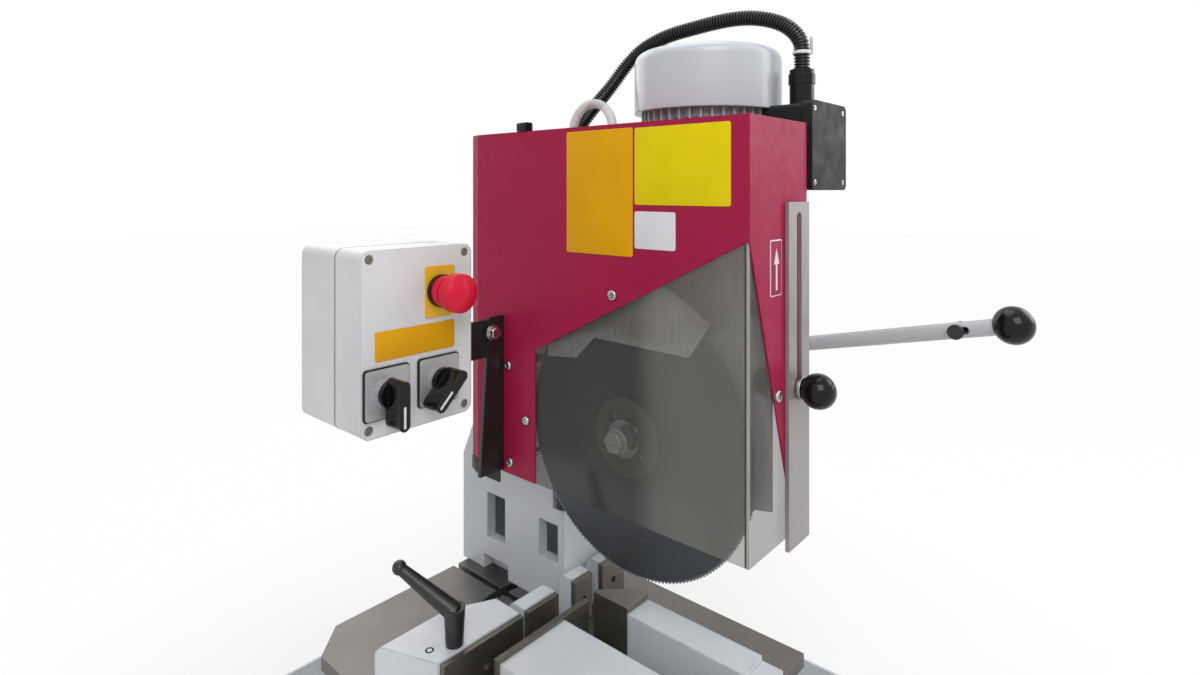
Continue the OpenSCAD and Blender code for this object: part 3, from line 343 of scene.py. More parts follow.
def ringFinish(name, look):
    material, tree, shader, coords = startMaterial(name)
    base = look["colour"]
    apart = tree.nodes.new("ShaderNodeSeparateXYZ")
    tree.links.new(mapped(tree, coords, place=look["minusCentre"]), apart.inputs["Vector"])
    outward = tree.nodes.new("ShaderNodeCombineXYZ")
    tree.links.new(apart.outputs["Y"], outward.inputs["Y"])
    tree.links.new(apart.outputs["Z"], outward.inputs["Z"])
    radius = lengthOf(tree, outward.outputs["Vector"])
    line = tree.nodes.new("ShaderNodeCombineXYZ")
    tree.links.new(radius, line.inputs["X"])
    rings = cloudy(tree, line.outputs["Vector"], look["ringScale"], *look["ring"])
    broad = cloudy(tree, line.outputs["Vector"], look["broadScale"], detail=2)
    stains = cloudy(tree, coords, *cloud["bladeStain"])
    colour = toned(tree, rings, base, look["dark"], look["pale"])
    colour = blended(tree, ranged(tree, broad, 0, look["broadShare"]), colour, shade(base, look["broad"]))
    stained = ranged(tree, stains, 0, look["stainShare"], *look["stainFrom"])
    colour = blended(tree, stained, colour, shade(base, look["stained"]))
    bright = ranged(tree, radius, 0, 1, look["rimFrom"], look["rimTo"])
    colour = blended(tree, bright, colour, look["rimColour"])
    normal = roundedNormal(tree, look["edge"])
    tree.links.new(colour, shader.inputs["Base Color"])
    setRough(tree, shader, rings, look["rough"], glossShare["blade"])
    tree.links.new(bumped(tree, rings, look["grain"], bumpDepth["blade"], normal), shader.inputs["Normal"])
    shader.inputs["Metallic"].default_value = look["metallic"]
    shader.inputs["Anisotropic"].default_value = 0.4
    return material


def plasticFinish(name, look):
    material, tree, shader, coords = startMaterial(name)
    drift = cloudy(tree, coords, *cloud["plastic"])
    colour = toned(tree, drift, look["colour"], plasticTone["dark"], plasticTone["pale"])
    normal = roundedNormal(tree, look["edge"])
    if look.get("wear"):
        rubbed = maths(tree, "MULTIPLY", edgeMask(tree, normal, coords), plasticTone["rubShare"])
        colour = blended(tree, rubbed, colour, look["wear"])
    tree.links.new(colour, shader.inputs["Base Color"])
    setRough(tree, shader, cloudy(tree, coords, *cloud["touch"]), look["rough"], glossShare["plastic"])
    skin = cloudy(tree, coords, look["grainScale"], detail=3)
    tree.links.new(bumped(tree, skin, look["grain"], bumpDepth["plastic"], normal), shader.inputs["Normal"])
    shader.inputs["Coat Weight"].default_value = look.get("coat", 0)
    shader.inputs["Coat Roughness"].default_value = 0.05
    shader.inputs["Specular IOR Level"].default_value = look.get("specular", 0.5)
    return material


def clearFinish(name, look):
    material, tree, shader, coords = startMaterial(name)
    smear = cloudy(tree, mapped(tree, coords, clearTone["stretch"]), *cloud["smear"])
    colour = toned(tree, smear, look["colour"], clearTone["dark"], clearTone["pale"])
    # Optional paler patch on the front of the side sheet: painted light standing in for the lit inner guard
    # seen through it
    paintedGuardLight = look.get("paintedGuardLight")
    if paintedGuardLight:
        apart = tree.nodes.new("ShaderNodeSeparateXYZ")
        tree.links.new(coords, apart.inputs["Vector"])
        forward = ranged(tree, apart.outputs["Y"], 1, 0, paintedGuardLight["front"], paintedGuardLight["back"])
        onSide = ranged(tree, apart.outputs["X"], 1, 0, paintedGuardLight["side"], paintedGuardLight["side"] + paintedGuardLight["soft"])
        streaky = ranged(tree, smear, *clearTone["streaks"])
        paintedLightShare = maths(tree, "MULTIPLY", maths(tree, "MULTIPLY", forward, onSide), streaky)
        colour = blended(tree, paintedLightShare, colour, paintedGuardLight["colour"])
    tree.links.new(colour, shader.inputs["Base Color"])
    setRough(tree, shader, smear, look["rough"], glossShare["clear"])
    shader.inputs["Alpha"].default_value = look["alpha"]
    shader.inputs["IOR"].default_value = 1.49
    return material


def stackFinish(name, look):
    material, tree, shader, coords = startMaterial(name)
    wave = tree.nodes.new("ShaderNodeTexWave")
    wave.bands_direction = "Z"
    wave.inputs["Scale"].default_value = look["layers"]
    wave.inputs["Distortion"].default_value = 0.3
    tree.links.new(coords, wave.inputs["Vector"])
    layers = wave.outputs["Fac"]
    colour = toned(tree, layers, look["colour"], look["dark"], look["pale"], look["ends"])
    tree.links.new(colour, shader.inputs["Base Color"])
    dull = cloudy(tree, coords, *cloud["dull"])
    tree.links.new(ranged(tree, dull, *look["rough"]), shader.inputs["Roughness"])
    normal = roundedNormal(tree, look["edge"])
    tree.links.new(bumped(tree, layers, look["grain"], bumpDepth["stack"], normal), shader.inputs["Normal"])
    shader.inputs["Metallic"].default_value = 0.8
    return material


# One finish for each material slot of the record
finish = {
    "cast_white": paintFinish("castWhite", {
        "colour": tone(214, 218, 222), "drift": 0.035, "rough": 0.38, "grain": 0.16, "grainScale": 240,
        "edge": 0.004, "wear": tone(168, 170, 172), "coat": 0.15}),
    "hood_red": paintFinish("hoodRed", {
        "colour": tone(160, 22, 66), "drift": 0.03, "rough": 0.5, "grain": 0.03, "grainScale": 900,
        "edge": 0.0009, "coat": 0.04, "specular": 0.2}),
    "tray_grey": paintFinish("trayGrey", {
        "colour": tone(206, 210, 212), "drift": 0.05, "rough": 0.42, "grain": 0.10, "grainScale": 420,
        "edge": 0.002, "wear": tone(140, 140, 138)}),
    "black_paint": paintFinish("blackPaint", {
        "colour": tone(30, 29, 31), "drift": 0.12, "rough": 0.36, "grain": 0.12, "grainScale": 600,
        "edge": 0.0012, "wear": tone(70, 68, 66)}),
    "motor_grey": paintFinish("motorGrey", {
        "colour": tone(186, 189, 192), "drift": 0.06, "rough": 0.42, "grain": 0.2, "grainScale": 260,
        "edge": 0.0012, "wear": tone(150, 150, 150)}),
    "cowl_grey": paintFinish("cowlGrey", {
        "colour": tone(197, 201, 206), "drift": 0.015, "rough": 0.34, "grain": 0.02, "grainScale": 500,
        "edge": 0.003, "coat": 0.25}),
    "sheet_grey": metalFinish("sheetGrey", {
        "colour": tone(160, 154, 155), "streak": (1, 1, 0.06), "streakScale": 320, "rough": 0.40,
        "grain": 0.02, "edge": 0.0008, "metallic": 0.45, "stain": 0.15}),
    "ground_steel": metalFinish("groundSteel", {
        "colour": tone(110, 107, 104), "streak": (1, 26, 1), "streakScale": 34, "rough": 0.38, "grain": 0.03,
        "edge": 0.0012, "metallic": 0.9, "stain": 0.35}),
    "dark_steel": metalFinish("darkSteel", {
        "colour": tone(122, 118, 112), "streak": (1, 1, 22), "streakScale": 30, "rough": 0.42, "grain": 0.03,
        "edge": 0.0010, "metallic": 0.85, "stain": 0.4}),
    "bright_steel": metalFinish("brightSteel", {
        "colour": tone(186, 185, 182), "streak": (1, 1, 14), "streakScale": 60, "rough": 0.24, "grain": 0.015,
        "edge": 0.0008, "stain": 0.2}),
    "bronze": metalFinish("bronze", {
        "colour": tone(176, 132, 66), "streak": (12, 1, 1), "streakScale": 40, "rough": 0.32, "grain": 0.03,
        "edge": 0.0006, "stain": 0.3}),
    "blade_steel": ringFinish("bladeSteel", {
        "colour": tone(76, 79, 82), "minusCentre": (0, 0.110, -0.458), "ringScale": 260, "ring": (6, 0.7),
        "dark": 0.72, "pale": 1.25, "broadScale": 20.8, "broadShare": 0.4, "broad": 0.7, "stainShare": 0.3,
        "stainFrom": (0.5, 0.8), "stained": 1.3, "rough": 0.38, "grain": 0.02, "edge": 0.0004,
        "metallic": 0.8, "rimFrom": 0.1805, "rimTo": 0.184, "rimColour": tone(140, 140, 140)}),
    "lamination": stackFinish("lamination", {
        "colour": tone(120, 120, 124), "layers": 300, "dark": 0.5, "pale": 1, "ends": (0.2, 0.6),
        "rough": (0.4, 0.6), "edge": 0.0006, "grain": 0.2}),
    # The window's paler patch in front of the inner guard is painted light standing in for the lit guard
    # behind it
    "window_clear": clearFinish("windowClear", {
        "colour": tone(62, 60, 56), "rough": 0.06, "alpha": 0.40,
        "paintedGuardLight": {"colour": tone(140, 138, 132), "front": -0.185, "back": -0.148, "side": -0.0425,
                 "soft": 0.003}}),
    "hose_clear": clearFinish("hoseClear", {"colour": tone(222, 226, 224), "rough": 0.16, "alpha": 0.62}),
    "box_grey": plasticFinish("boxGrey", {
        "colour": tone(214, 213, 215), "rough": 0.42, "grain": 0.10, "grainScale": 900, "edge": 0.003}),
    "black_plastic": plasticFinish("blackPlastic", {
        "colour": tone(11, 11, 12), "rough": 0.16, "grain": 0.03, "grainScale": 300, "edge": 0.0012,
        "coat": 0.1, "specular": 0.22, "wear": tone(60, 60, 60)}),
    "conduit_black": plasticFinish("conduitBlack", {
        "colour": tone(30, 29, 31), "rough": 0.52, "grain": 0.08, "grainScale": 700, "edge": 0.0006,
        "specular": 0.22}),
    "stop_red": plasticFinish("stopRed", {
        "colour": tone(206, 14, 52), "rough": 0.36, "grain": 0.04, "grainScale": 500, "edge": 0.0015,
        "coat": 0.04, "specular": 0.25}),
    "stop_yellow": plasticFinish("stopYellow", {
        "colour": tone(228, 178, 20), "rough": 0.42, "grain": 0.05, "grainScale": 600, "edge": 0.0008}),
}
for part in frame["record"]["subparts"]:
    piece = nodes[part["node"]]
    if not piece.data.materials:
        piece.data.materials.append(None)
    for holder in piece.material_slots:
        holder.material = finish[part["material_slot"]]

# Three nodes whose sheet is paler than the rest of their slot; for the inner guard and the hood's back the
# near-white sheet is painted light that makes up for the shade inside the hood
innerSheetPaintedLight = metalFinish("innerSheetPaintedLight", {
    "colour": tone(240, 239, 235), "streak": (1, 1, 0.1), "streakScale": 200, "rough": 0.42, "grain": 0.015,
    "edge": 0.0008, "metallic": 0.15, "stain": 0.12})
switchGrey = metalFinish("switchGrey", {
    "colour": tone(176, 174, 178), "streak": (1, 1, 9), "streakScale": 90, "rough": 0.36, "grain": 0.02,
    "edge": 0.0006, "metallic": 0.35, "stain": 0.15})
for name, look in (("switch_plates", switchGrey), ("inner_guard", innerSheetPaintedLight), ("hood_back", innerSheetPaintedLight)):
    nodes[name].material_slots[0].material = look

# Other finishes that only the dressing needs
zincBright = metalFinish("zincBright", {
    "colour": tone(236, 235, 230), "streak": (1, 1, 6), "streakScale": 60, "rough": 0.34, "grain": 0.02,
    "edge": 0.0006, "metallic": 0.3, "stain": 0.2})
plateYellow = plasticFinish("plateYellow", {
    "colour": tone(230, 208, 0), "rough": 0.42, "grain": 0.03, "grainScale": 300, "edge": 0.0004,
    "specular": 0.18})
plateOrange = plasticFinish("plateOrange", {
    "colour": tone(224, 162, 4), "rough": 0.42, "grain": 0.03, "grainScale": 300, "edge": 0.0004,
    "specular": 0.18})
platePale = plasticFinish("platePale", {
    "colour": tone(222, 222, 226), "rough": 0.34, "grain": 0.03, "grainScale": 300, "edge": 0.0004})
rubberBlack = plasticFinish("rubberBlack", {
    "colour": tone(38, 37, 37), "rough": 0.62, "grain": 0.2, "grainScale": 800, "edge": 0.0008})
conduitGloss = plasticFinish("conduitGloss", {
    "colour": tone(16, 16, 17), "rough": 0.30, "grain": 0.03, "grainScale": 500, "edge": 0.0003,
    "specular": 0.45})


# Corrugated conduit from the terminal box over to the slide, and the clear coolant hose

def smoothLine(points, perSpan):
    line = []
    last = len(points) - 1
    for i in range(last):
        p0, p1, p2, p3 = (Vector(points[max(0, min(last, k))]) for k in (i - 1, i, i + 1, i + 2))
        for step in range(perSpan):
            u = step / perSpan
            line.append(0.5 * (2 * p1 + (p2 - p0) * u + (2 * p0 - 5 * p1 + 4 * p2 - p3) * u * u
                               + (3 * p1 - p0 - 3 * p2 + p3) * u ** 3))
    line.append(Vector(points[-1]))
    return line


def curveFrom(name, line):
    data = bpy.data.curves.new(name, "CURVE")
    data.dimensions = "3D"
    spline = data.splines.new("POLY")
    spline.points.add(len(line) - 1)
    for point, place in zip(spline.points, line):
        point.co = (place[0], place[1], place[2], 1)
    curve = bpy.data.objects.new(name, data)
    scene.collection.objects.link(curve)
    return curve


def lineLength(line):
    return sum((b - a).length for a, b in zip(line, line[1:]))


conduitSet = {"from": (0.155, -0.278, 0.945), "diameter": 0.021, "rib": 0.0022, "ribs": 160, "sides": 20,
              "perSpan": 10,
              "route": [(0, 0, -12), (0, 0, 22), (-1, 4, 43), (-5, 23, 63), (-11, 56, 76), (-18, 96, 80),
                        (-27, 150, 75), (-37, 203, 65), (-45, 250, 42), (-67, 280, -5), (-91, 297, -41),
                        (-107, 310, -73), (-113, 318, -110), (-114, 321, -155), (-114, 321, -200),
                        (-114, 321, -240), (-114, 321, -275)]}
conduitStart = Vector(conduitSet["from"])
conduitRoute = [conduitStart + Vector(p) / 1000 for p in conduitSet["route"]]  # the route is in millimetres
conduitLine = smoothLine(conduitRoute, conduitSet["perSpan"])
conduitLength = lineLength(conduitLine)
conduitGuide = curveFrom("conduitGuide", conduitLine)
ribPitch = conduitLength / conduitSet["ribs"]
crest = conduitSet["diameter"] / 2
valley = crest - conduitSet["rib"]
letGo()
bpy.ops.mesh.primitive_circle_add(vertices=conduitSet["sides"], radius=valley, location=(0, 0, 0))
conduitPiece = bpy.context.object
conduitPiece.name = "conduitRibbed"
pickAll()
ribShape = [(0.22, 1), (0.16, crest / valley), (0.08, 1), (0.22, 1), (0.08, 1), (0.16, valley / crest),
            (0.08, 1)]  # shares of one pitch, and the width after each
for rise, size in ribShape:
    pushOut((0, 0, rise * ribPitch), (size, size, 1))
backToObject()
ribArray = conduitPiece.modifiers.new("ribs", "ARRAY")
ribArray.count = conduitSet["ribs"]
ribArray.use_relative_offset = False
ribArray.use_constant_offset = True
ribArray.constant_offset_displace = (0, 0, ribPitch)
ribArray.use_merge_vertices = True
ribArray.merge_threshold = 0.00005
along = conduitPiece.modifiers.new("along", "CURVE")
along.object = conduitGuide
along.deform_axis = "POS_Z"
takeUp(conduitPiece)
bpy.ops.object.modifier_apply(modifier="ribs")
bpy.ops.object.modifier_apply(modifier="along")
pickAll()
bpy.ops.mesh.normals_make_consistent(inside=False)
backToObject()
bpy.ops.object.shade_smooth_by_angle(angle=math.radians(70))
bpy.data.objects.remove(conduitGuide)
dress(conduitPiece, "head", conduitGloss)
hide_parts("conduit")

hoseSet = {"x": 0.0132, "middle": (-0.029, 0.870), "bend": 0.037, "foot": 0.658, "diameter": 0.013,
           "legStep": 0.0212, "legPoints": 10, "bendSteps": 24}
hoseY, hoseZ = hoseSet["middle"]
legHeights = [hoseSet["foot"] + hoseSet["legStep"] * k for k in range(hoseSet["legPoints"])]
hoseLine = [Vector((hoseSet["x"], hoseY - hoseSet["bend"], height)) for height in legHeights]
for k in range(hoseSet["bendSteps"] + 1):
    angle = math.pi * (1 - k / hoseSet["bendSteps"])
    hoseLine.append(Vector((hoseSet["x"], hoseY + hoseSet["bend"] * math.cos(angle),
                            hoseZ + hoseSet["bend"] * math.sin(angle))))
hoseLine += [Vector((hoseSet["x"], hoseY + hoseSet["bend"], height)) for height in reversed(legHeights)]
hosePiece = curveFrom("coolantTube", hoseLine)
hosePiece.data.bevel_depth = hoseSet["diameter"] / 2
hosePiece.data.bevel_resolution = 6
dress(hosePiece, "head", finish["hose_clear"])
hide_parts("coolant_hose")
print("conduit", round(conduitLength, 3), "m and hose made")


# Bare plates where the real machine carries its signs

def barePlate(name, row):
    low = Vector(row["low"])
    high = Vector(row["high"])
    thin = "xyz".index(row["thin"])
    letGo()
    bpy.ops.mesh.primitive_cube_add(size=1, location=(low + high) / 2)
    plate = bpy.context.object
    plate.name = name
    plate.scale = high - low
    settle(plate)
    pickEdges(plate, lambda a, b: abs((b - a).normalized()[thin]) > 0.9)
    bpy.ops.mesh.bevel(offset=row["corner"], segments=5, affect="EDGES")
    backToObject()
    softenEdges(plate, row["rim"])
    return plate


plateSet = {
    "signPlateYellow": {"low": (-0.0478, -0.287, 0.766), "high": (-0.0468, -0.152, 0.861), "thin": "x",
                        "corner": 0.003, "rim": 0.0003, "look": plateYellow, "slot": "stop_yellow"},
    "signPlateOrange": {"low": (-0.0478, -0.149, 0.701), "high": (-0.0468, -0.036, 0.862), "thin": "x",
                        "corner": 0.003, "rim": 0.0003, "look": plateOrange, "slot": "stop_yellow"},
    "signPlatePale": {"low": (-0.0478, -0.213, 0.712), "high": (-0.0468, -0.152, 0.758), "thin": "x",
                      "corner": 0.003, "rim": 0.0003, "look": platePale, "slot": "box_grey"},
    "boxSignPlate": {"low": (-0.356, -0.0748, 0.617), "high": (-0.262, -0.0738, 0.646), "thin": "y",
                     "corner": 0.002, "rim": 0.0003, "look": plateOrange, "slot": "stop_yellow"},
    "turnPlate": {"low": (0.000, -0.3108, 0.662), "high": (0.028, -0.3098, 0.727), "thin": "y",
                  "corner": 0.002, "rim": 0.0003, "look": platePale, "slot": "box_grey"},
    "turnField": {"low": (0.0014, -0.3111, 0.6634), "high": (0.0266, -0.3104, 0.7256), "thin": "y",
                  "corner": 0.0012, "rim": 0.0001, "look": finish["hood_red"], "slot": "hood_red"},
}
for name, row in plateSet.items():
    dress(barePlate(name, row), "head", row["look"])

# Plain arrow on the red field: a stem, then the head pushed out of its upper edge
arrowSet = {"place": (0.014, -0.3113, 0.684), "stem": (0.004, 0.030), "stemTop": 0.695, "headWide": 3.2,
            "headLong": 0.018, "tip": 0.02, "thick": 0.0004}
letGo()
bpy.ops.mesh.primitive_plane_add(size=1, location=arrowSet["place"], rotation=(math.pi / 2, 0, 0))
arrow = bpy.context.object
arrow.name = "turnArrow"
arrow.scale = (arrowSet["stem"][0], arrowSet["stem"][1], 1)
settle(arrow)
pickEdges(arrow, lambda a, b: min(a.z, b.z) > arrowSet["stemTop"])
pushOut((0, 0, 0), (arrowSet["headWide"], 1, 1))
pushOut((0, 0, arrowSet["headLong"]), (arrowSet["tip"], 1, 1))
backToObject()
thicken(arrow, arrowSet["thick"])
dress(arrow, "head", platePale)
print("bare plates set")


# Screws: a low button, a socket cap, a small flat head and a hex bolt, each modelled once and copied

headShape = {"socketDeep": 0.55, "leastStep": 0.0002, "middle": 0.2}
hexShape = {"washerSoft": 0.0004, "stepIn": 0.06, "stepUp": 0.05, "soft": 0.0003}


def roundHead(name, row):
    letGo()
    bpy.ops.mesh.primitive_cylinder_add(vertices=28, radius=row["radius"], depth=row["height"],
                                        location=(0, 0, row["height"] / 2))
    head = bpy.context.object
    head.name = name
    settle(head)
    pickFaces(head, lambda c, n: n.z > 0.9)
    bpy.ops.mesh.bevel(offset=row["crown"], segments=4, affect="EDGES")
    backToObject()
    pickFaces(head, lambda c, n: n.z > 0.99 and c.xy.length < row["radius"] * headShape["middle"])
    step = max(headShape["leastStep"], row["radius"] - row["crown"] - row["socket"])
    bpy.ops.mesh.inset(thickness=step)
    pushOut((0, 0, -row["height"] * headShape["socketDeep"]))
    backToObject()
    bpy.ops.object.shade_smooth_by_angle(angle=smoothAngle)
    return head


def hexHead(name, row):
    letGo()
    bpy.ops.mesh.primitive_cylinder_add(vertices=32, radius=row["washer"], depth=row["washerThick"],
                                        location=(0, 0, row["washerThick"] / 2))
    ring = bpy.context.object
    softenEdges(ring, hexShape["washerSoft"])
    settle(ring)
    letGo()
    bpy.ops.mesh.primitive_cylinder_add(vertices=6, radius=row["across"] / 2 / math.cos(math.pi / 6),
                                        depth=row["height"],
                                        location=(0, 0, row["washerThick"] + row["height"] / 2))
    head = bpy.context.object
    settle(head)
    pickFaces(head, lambda c, n: n.z > 0.9)
    bpy.ops.mesh.inset(thickness=row["across"] * hexShape["stepIn"], depth=row["across"] * hexShape["stepUp"])
    backToObject()
    softenEdges(head, hexShape["soft"])
    return joinAs(name, [head, ring])


screwSet = {"button": {"radius": 0.0068, "height": 0.0046, "socket": 0.0030, "crown": 0.0022},
            "cap": {"radius": 0.0062, "height": 0.0060, "socket": 0.0034, "crown": 0.0007},
            "small": {"radius": 0.0037, "height": 0.0018, "socket": 0.0018, "crown": 0.0004}}
boltSet = {"across": 0.016, "height": 0.008, "washer": 0.0115, "washerThick": 0.0016}
screws = {name: roundHead(name + "Screw", row) for name, row in screwSet.items()}
screws["hex"] = hexHead("hexBolt", boltSet)

caseSet = {"x": 0.178, "ringCentre": (-0.090, 0.528), "ringRadius": 0.050, "ringTurns": range(30, 390, 60),
           "cornersY": (-0.205, -0.034), "cornersZ": (0.415, 0.645)}
ringAngles = [math.radians(turn) for turn in caseSet["ringTurns"]]
casePlaces = [((caseSet["x"], caseSet["ringCentre"][0] + caseSet["ringRadius"] * math.cos(a),
                caseSet["ringCentre"][1] + caseSet["ringRadius"] * math.sin(a)), "+x") for a in ringAngles]
casePlaces += [((caseSet["x"], y, z), "+x") for y in caseSet["cornersY"] for z in caseSet["cornersZ"]]
groupSet = {
    "hoodScrews": {"source": "button", "body": "head", "slot": "bright_steel",
                   "places": [((-0.047, -0.117, 0.6505), "-x"), ((-0.047, 0.081, 0.528), "-x"),
                              ((-0.047, 0.077, 0.388), "-x"), ((-0.047, 0.043, 0.456), "-x"),
                              ((0.017, -0.310, 0.546), "-y")]},
    "boxScrews": {"source": "small", "body": "head", "slot": "dark_steel",
                  "places": [((x, -0.0720, z), "-y") for x in (-0.362, -0.248) for z in (0.552, 0.717)]},
    "bracketBolts": {"source": "hex", "body": "head", "slot": "bright_steel",
                     "places": [((-0.069, 0.092, 0.578), "-y")]},
    "terminalScrews": {"source": "small", "body": "head", "slot": "bright_steel",
                       "places": [((x, -0.313, z), "-y") for x in (0.114, 0.204) for z in (0.794, 0.888)]},
    "caseScrews": {"source": "cap", "body": "head", "slot": "dark_steel", "places": casePlaces},
    "fenceScrews": {"source": "cap", "body": "base", "slot": "bright_steel",
                    "places": [((-0.216, 0.036, 0.212), "+z")]},
}
for name, row in groupSet.items():
    copies = [setCopy(screws[row["source"]], name + str(k), place, turnTo[way])
              for k, (place, way) in enumerate(row["places"])]
    dress(joinAs(name, copies), row["body"], finish[row["slot"]])
for source in screws.values():
    bpy.data.objects.remove(source)

# Bright hex in front of the arbor bolt
arborSet = {"across": 0.026, "height": 0.008, "washer": 0.0165, "washerThick": 0.0016,
            "place": (-0.0297, -0.110, 0.458)}
arborHex = hexHead("arborHex", arborSet)
arborHex.location = arborSet["place"]
arborHex.rotation_euler = turnTo["-x"]
settle(arborHex)
dress(arborHex, "blade", zincBright)
print("screws set")

# Bright turned lip along the upper edge of the inner guard
lipSet = {"from": (-0.184, 0.670), "to": (-0.252, 0.629), "x": (-0.0385, -0.0331), "wide": 0.0034}
lipRun = Vector(lipSet["from"]) - Vector(lipSet["to"])
lipHalf = lipRun.length / 2
lipBar = {"low": (lipSet["x"][0], -lipHalf, -lipSet["wide"]), "high": (lipSet["x"][1], lipHalf, 0),
          "thin": "x", "corner": 0.0008, "rim": 0.0003}
lip = barePlate("guardLip", lipBar)
lip.rotation_euler = (math.atan2(lipRun.y, lipRun.x), 0, 0)
lipMiddle = (Vector(lipSet["from"]) + Vector(lipSet["to"])) / 2
lip.location = (0, lipMiddle.x, lipMiddle.y)
settle(lip)
dress(lip, "head", zincBright)

# Clip on the hood's top edge, and the rubber skirt round its back lower corner
clipSet = {"low": (-0.050, 0.042, 0.8675), "high": (-0.036, 0.062, 0.8810), "thin": "y", "corner": 0.003,
           "rim": 0.0008}
dress(barePlate("edgeClip", clipSet), "head", finish["black_plastic"])
skirtSet = {"low": 0.352, "high": 0.372, "thick": 0.003, "soft": 0.0006,
            "run": [(-0.0475, 0.100), (-0.0475, 0.1520), (-0.0385, 0.1745)]}
skirtFrom, skirtBend, skirtTo = (Vector(point) for point in skirtSet["run"])
skirtLong = skirtBend.y - skirtFrom.y
letGo()
bpy.ops.mesh.primitive_plane_add(size=1, rotation=(0, math.pi / 2, 0))
skirt = bpy.context.object
skirt.name = "backSkirt"
settle(skirt)
skirt.scale = (1, skirtLong, skirtSet["high"] - skirtSet["low"])
skirt.location = (skirtFrom.x, skirtFrom.y + skirtLong / 2, (skirtSet["low"] + skirtSet["high"]) / 2)
settle(skirt)
pickEdges(skirt, lambda a, b: min(a.y, b.y) > skirtBend.y - 0.001)
pushOut((skirtTo.x - skirtBend.x, skirtTo.y - skirtBend.y, 0))
backToObject()
thicken(skirt, skirtSet["thick"])
softenEdges(skirt, skirtSet["soft"])
dress(skirt, "head", rubberBlack)

# Frames round the two switch plates
switchSet = {"mainSwitchFrame": -0.344, "modeSwitchFrame": -0.283}
switchRim = {"low": (-0.0255, -0.0765, 0.5605), "high": (0.0255, -0.0740, 0.6115), "thin": "y",
             "corner": 0.004, "rim": 0.0006}
for name, x in switchSet.items():
    rim = barePlate(name, switchRim)
    rim.location.x = x
    settle(rim)
    dress(rim, "head", finish["black_plastic"])


# Turned rings on the stop and the guard knob, and the band of the conduit's tie

def turnedRing(name, row):
    letGo()
    bpy.ops.mesh.primitive_circle_add(vertices=48, radius=row["outer"])
    ring = bpy.context.object
    ring.name = name
    pickAll()
    for rise, size in ((row["depth"], 1), (0, row["inner"] / row["outer"]), (-row["depth"], 1)):
        pushOut((0, 0, rise), (size, size, 1))
    backToObject()
    pickEdges(ring, lambda a, b: max(a.z, b.z) < 0.00001)
    bpy.ops.mesh.bridge_edge_loops()
    bpy.ops.mesh.select_all(action="SELECT")
    bpy.ops.mesh.normals_make_consistent(inside=False)
    backToObject()
    ring.location = row["place"]
    ring.rotation_euler = turnTo[row["way"]]
    settle(ring)
    softenEdges(ring, row["soft"])
    return ring


ringSet = {
    "stopRing": {"place": (-0.281, -0.0762, 0.679), "inner": 0.0143, "outer": 0.0172, "depth": 0.006,
                 "way": "-y", "soft": 0.0008, "body": "head", "slot": "black_plastic"},
    "stopNeck": {"place": (-0.281, -0.0822, 0.679), "inner": 0.0142, "outer": 0.0162, "depth": 0.0100,
                 "way": "-y", "soft": 0.0006, "body": "head", "slot": "stop_red"},
    "knobFerrule": {"place": (0.066, -0.3166, 0.546), "inner": 0.0112, "outer": 0.0142, "depth": 0.005,
                    "way": "-y", "soft": 0.0008, "body": "guard_lock", "slot": "bright_steel"},
}
for name, row in ringSet.items():
    dress(turnedRing(name, row), row["body"], finish[row["slot"]])

# White tie round the conduit just above the gland
tieSet = {"place": (0.155, -0.2778, 0.9660), "inner": 0.0107, "outer": 0.0120, "depth": 0.0045, "way": "+z",
          "soft": 0.0004}
tieTail = {"low": (0.1632, -0.2900, 0.9662), "high": (0.1643, -0.2855, 0.9900), "thin": "x", "corner": 0.0010,
           "rim": 0.0002}
tiePieces = [turnedRing("tieBand", tieSet), barePlate("tieTail", tieTail)]
dress(joinAs("cableTie", tiePieces), "head", platePale)

# Pale pointer lines let into the two bar knobs
pointerSet = {"main_switch": {"place": (-0.344, -0.1073, 0.586), "turn": 0},
              "mode_switch": {"place": (-0.283, -0.1073, 0.586), "turn": 45}}
pointerBar = {"low": (-0.0012, -0.0004, -0.0290), "high": (0.0012, 0.0003, -0.0080), "thin": "y",
              "corner": 0.0010, "rim": 0.0001}
for body, row in pointerSet.items():
    line = barePlate(body + "Pointer", pointerBar)
    line.rotation_euler = (0, math.radians(row["turn"]), 0)
    line.location = row["place"]
    settle(line)
    dress(line, body, platePale)

# Dark gasket in the seam of the control box, and at the glued corner of the window a pale strip of painted
# highlight beside a dark strip of painted shade
gasketSet = {"low": (-0.3712, -0.0256, 0.5428), "high": (-0.2388, -0.0244, 0.7262), "thin": "y",
             "corner": 0.0101, "rim": 0.0002}
dress(barePlate("boxGasket", gasketSet), "head", rubberBlack)
# Painted highlight and painted shade for the bright and dark lines that the sheets' edges show at the
# window's corner
cornerSet = {
    "windowEdgePaintedHighlight": {"low": (-0.0452, -0.3082, 0.3705), "high": (-0.0436, -0.3050, 0.7270), "thin": "z",
                       "corner": 0.0003, "rim": 0.0001,
                       "look": {"colour": tone(176, 177, 170), "rough": 0.12, "alpha": 0.8}},
    "windowEdgePaintedShade": {"low": (-0.0452, -0.3045, 0.3705), "high": (-0.0440, -0.3026, 0.7250), "thin": "z",
                       "corner": 0.0003, "rim": 0.0001,
                       "look": {"colour": tone(46, 46, 43), "rough": 0.2, "alpha": 0.8}},
}
for name, row in cornerSet.items():
    dress(barePlate(name, row), "head", clearFinish(name, row["look"]))
print("trim set")


# Floor, world and lamps

def backgroundSeen(tree):
    path = tree.nodes.new("ShaderNodeLightPath")
    seen = maths(tree, "MAXIMUM", path.outputs["Is Camera Ray"], path.outputs["Is Transmission Ray"])
    return maths(tree, "MAXIMUM", seen, path.outputs["Is Glossy Ray"])


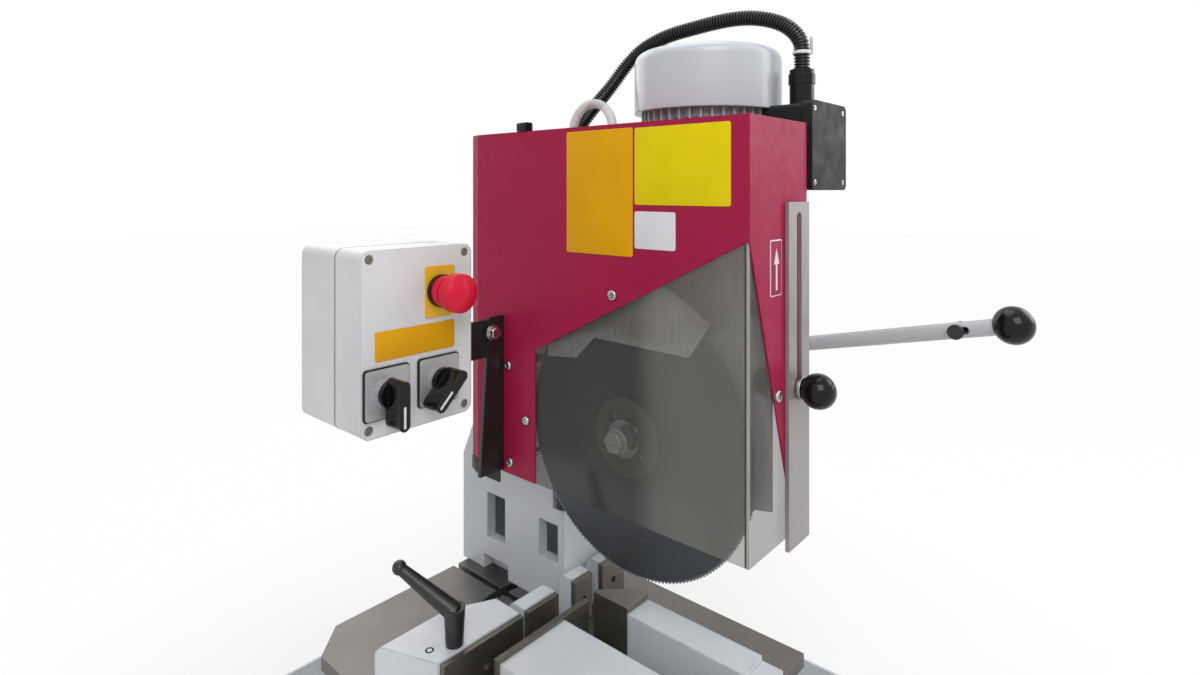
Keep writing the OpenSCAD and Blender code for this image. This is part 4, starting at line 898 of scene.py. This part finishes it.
# The floor keeps its own shade and shadow near the saw and fades to the white background further out
floorSet = {"size": 24, "height": -0.0005, "colour": (0.86, 0.86, 0.86, 1), "dark": 0.99, "pale": 1,
            "rough": 0.9, "nearShare": 0.55, "farShare": 0.97, "fade": (0.45, 0.95)}
letGo()
bpy.ops.mesh.primitive_plane_add(size=floorSet["size"], location=(0, 0, floorSet["height"]))
floor = bpy.context.object
floor.name = "studioFloor"
floorMaterial, floorTree, floorShader, floorCoords = startMaterial("studioFloor")
floorTint = toned(floorTree, cloudy(floorTree, floorCoords, *cloud["floor"]), floorSet["colour"],
                  floorSet["dark"], floorSet["pale"])
floorTree.links.new(floorTint, floorShader.inputs["Base Color"])
floorShader.inputs["Roughness"].default_value = floorSet["rough"]
floorGlow = floorTree.nodes.new("ShaderNodeEmission")
floorGlow.inputs["Color"].default_value = (1, 1, 1, 1)
floorShare = ranged(floorTree, lengthOf(floorTree, floorCoords), floorSet["nearShare"], floorSet["farShare"],
                    *floorSet["fade"])
floorMix = floorTree.nodes.new("ShaderNodeMixShader")
floorPart = maths(floorTree, "MULTIPLY", backgroundSeen(floorTree), floorShare)
floorTree.links.new(floorPart, floorMix.inputs["Fac"])
floorTree.links.new(floorShader.outputs["BSDF"], floorMix.inputs[1])
floorTree.links.new(floorGlow.outputs["Emission"], floorMix.inputs[2])
floorTree.links.new(floorMix.outputs["Shader"], floorTree.nodes["Material Output"].inputs["Surface"])
floor.data.materials.append(floorMaterial)

worldSet = {"light": 0.42, "seen": 1.0}
world = bpy.data.worlds.new("studioWorld")
scene.world = world
world.use_nodes = True
worldTree = world.node_tree
backing = worldTree.nodes["Background"]
backing.inputs["Color"].default_value = (1, 1, 1, 1)
worldStrength = ranged(worldTree, backgroundSeen(worldTree), worldSet["light"], worldSet["seen"], 0, 1)
worldTree.links.new(worldStrength, backing.inputs["Strength"])

lampSet = {"keyLamp": {"place": (-1.5, -1.6, 2.3), "watts": 34, "size": 1.6},
           "sideLamp": {"place": (1.7, -1.5, 1.5), "watts": 16, "size": 1.4},
           "topLamp": {"place": (0.2, 0.4, 2.9), "watts": 20, "size": 1.8},
           "backLamp": {"place": (0.4, 2.2, 1.8), "watts": 12, "size": 1.6}}
lampTarget = Vector((0.0, -0.05, 0.5))
for name, row in lampSet.items():
    bpy.ops.object.light_add(type="AREA", location=row["place"])
    lamp = bpy.context.object
    lamp.name = name
    lamp.data.energy = row["watts"]
    lamp.data.size = row["size"]
    aim = lampTarget - Vector(row["place"])
    lamp.rotation_euler = aim.to_track_quat("-Z", "Y").to_euler()
print("studio set")
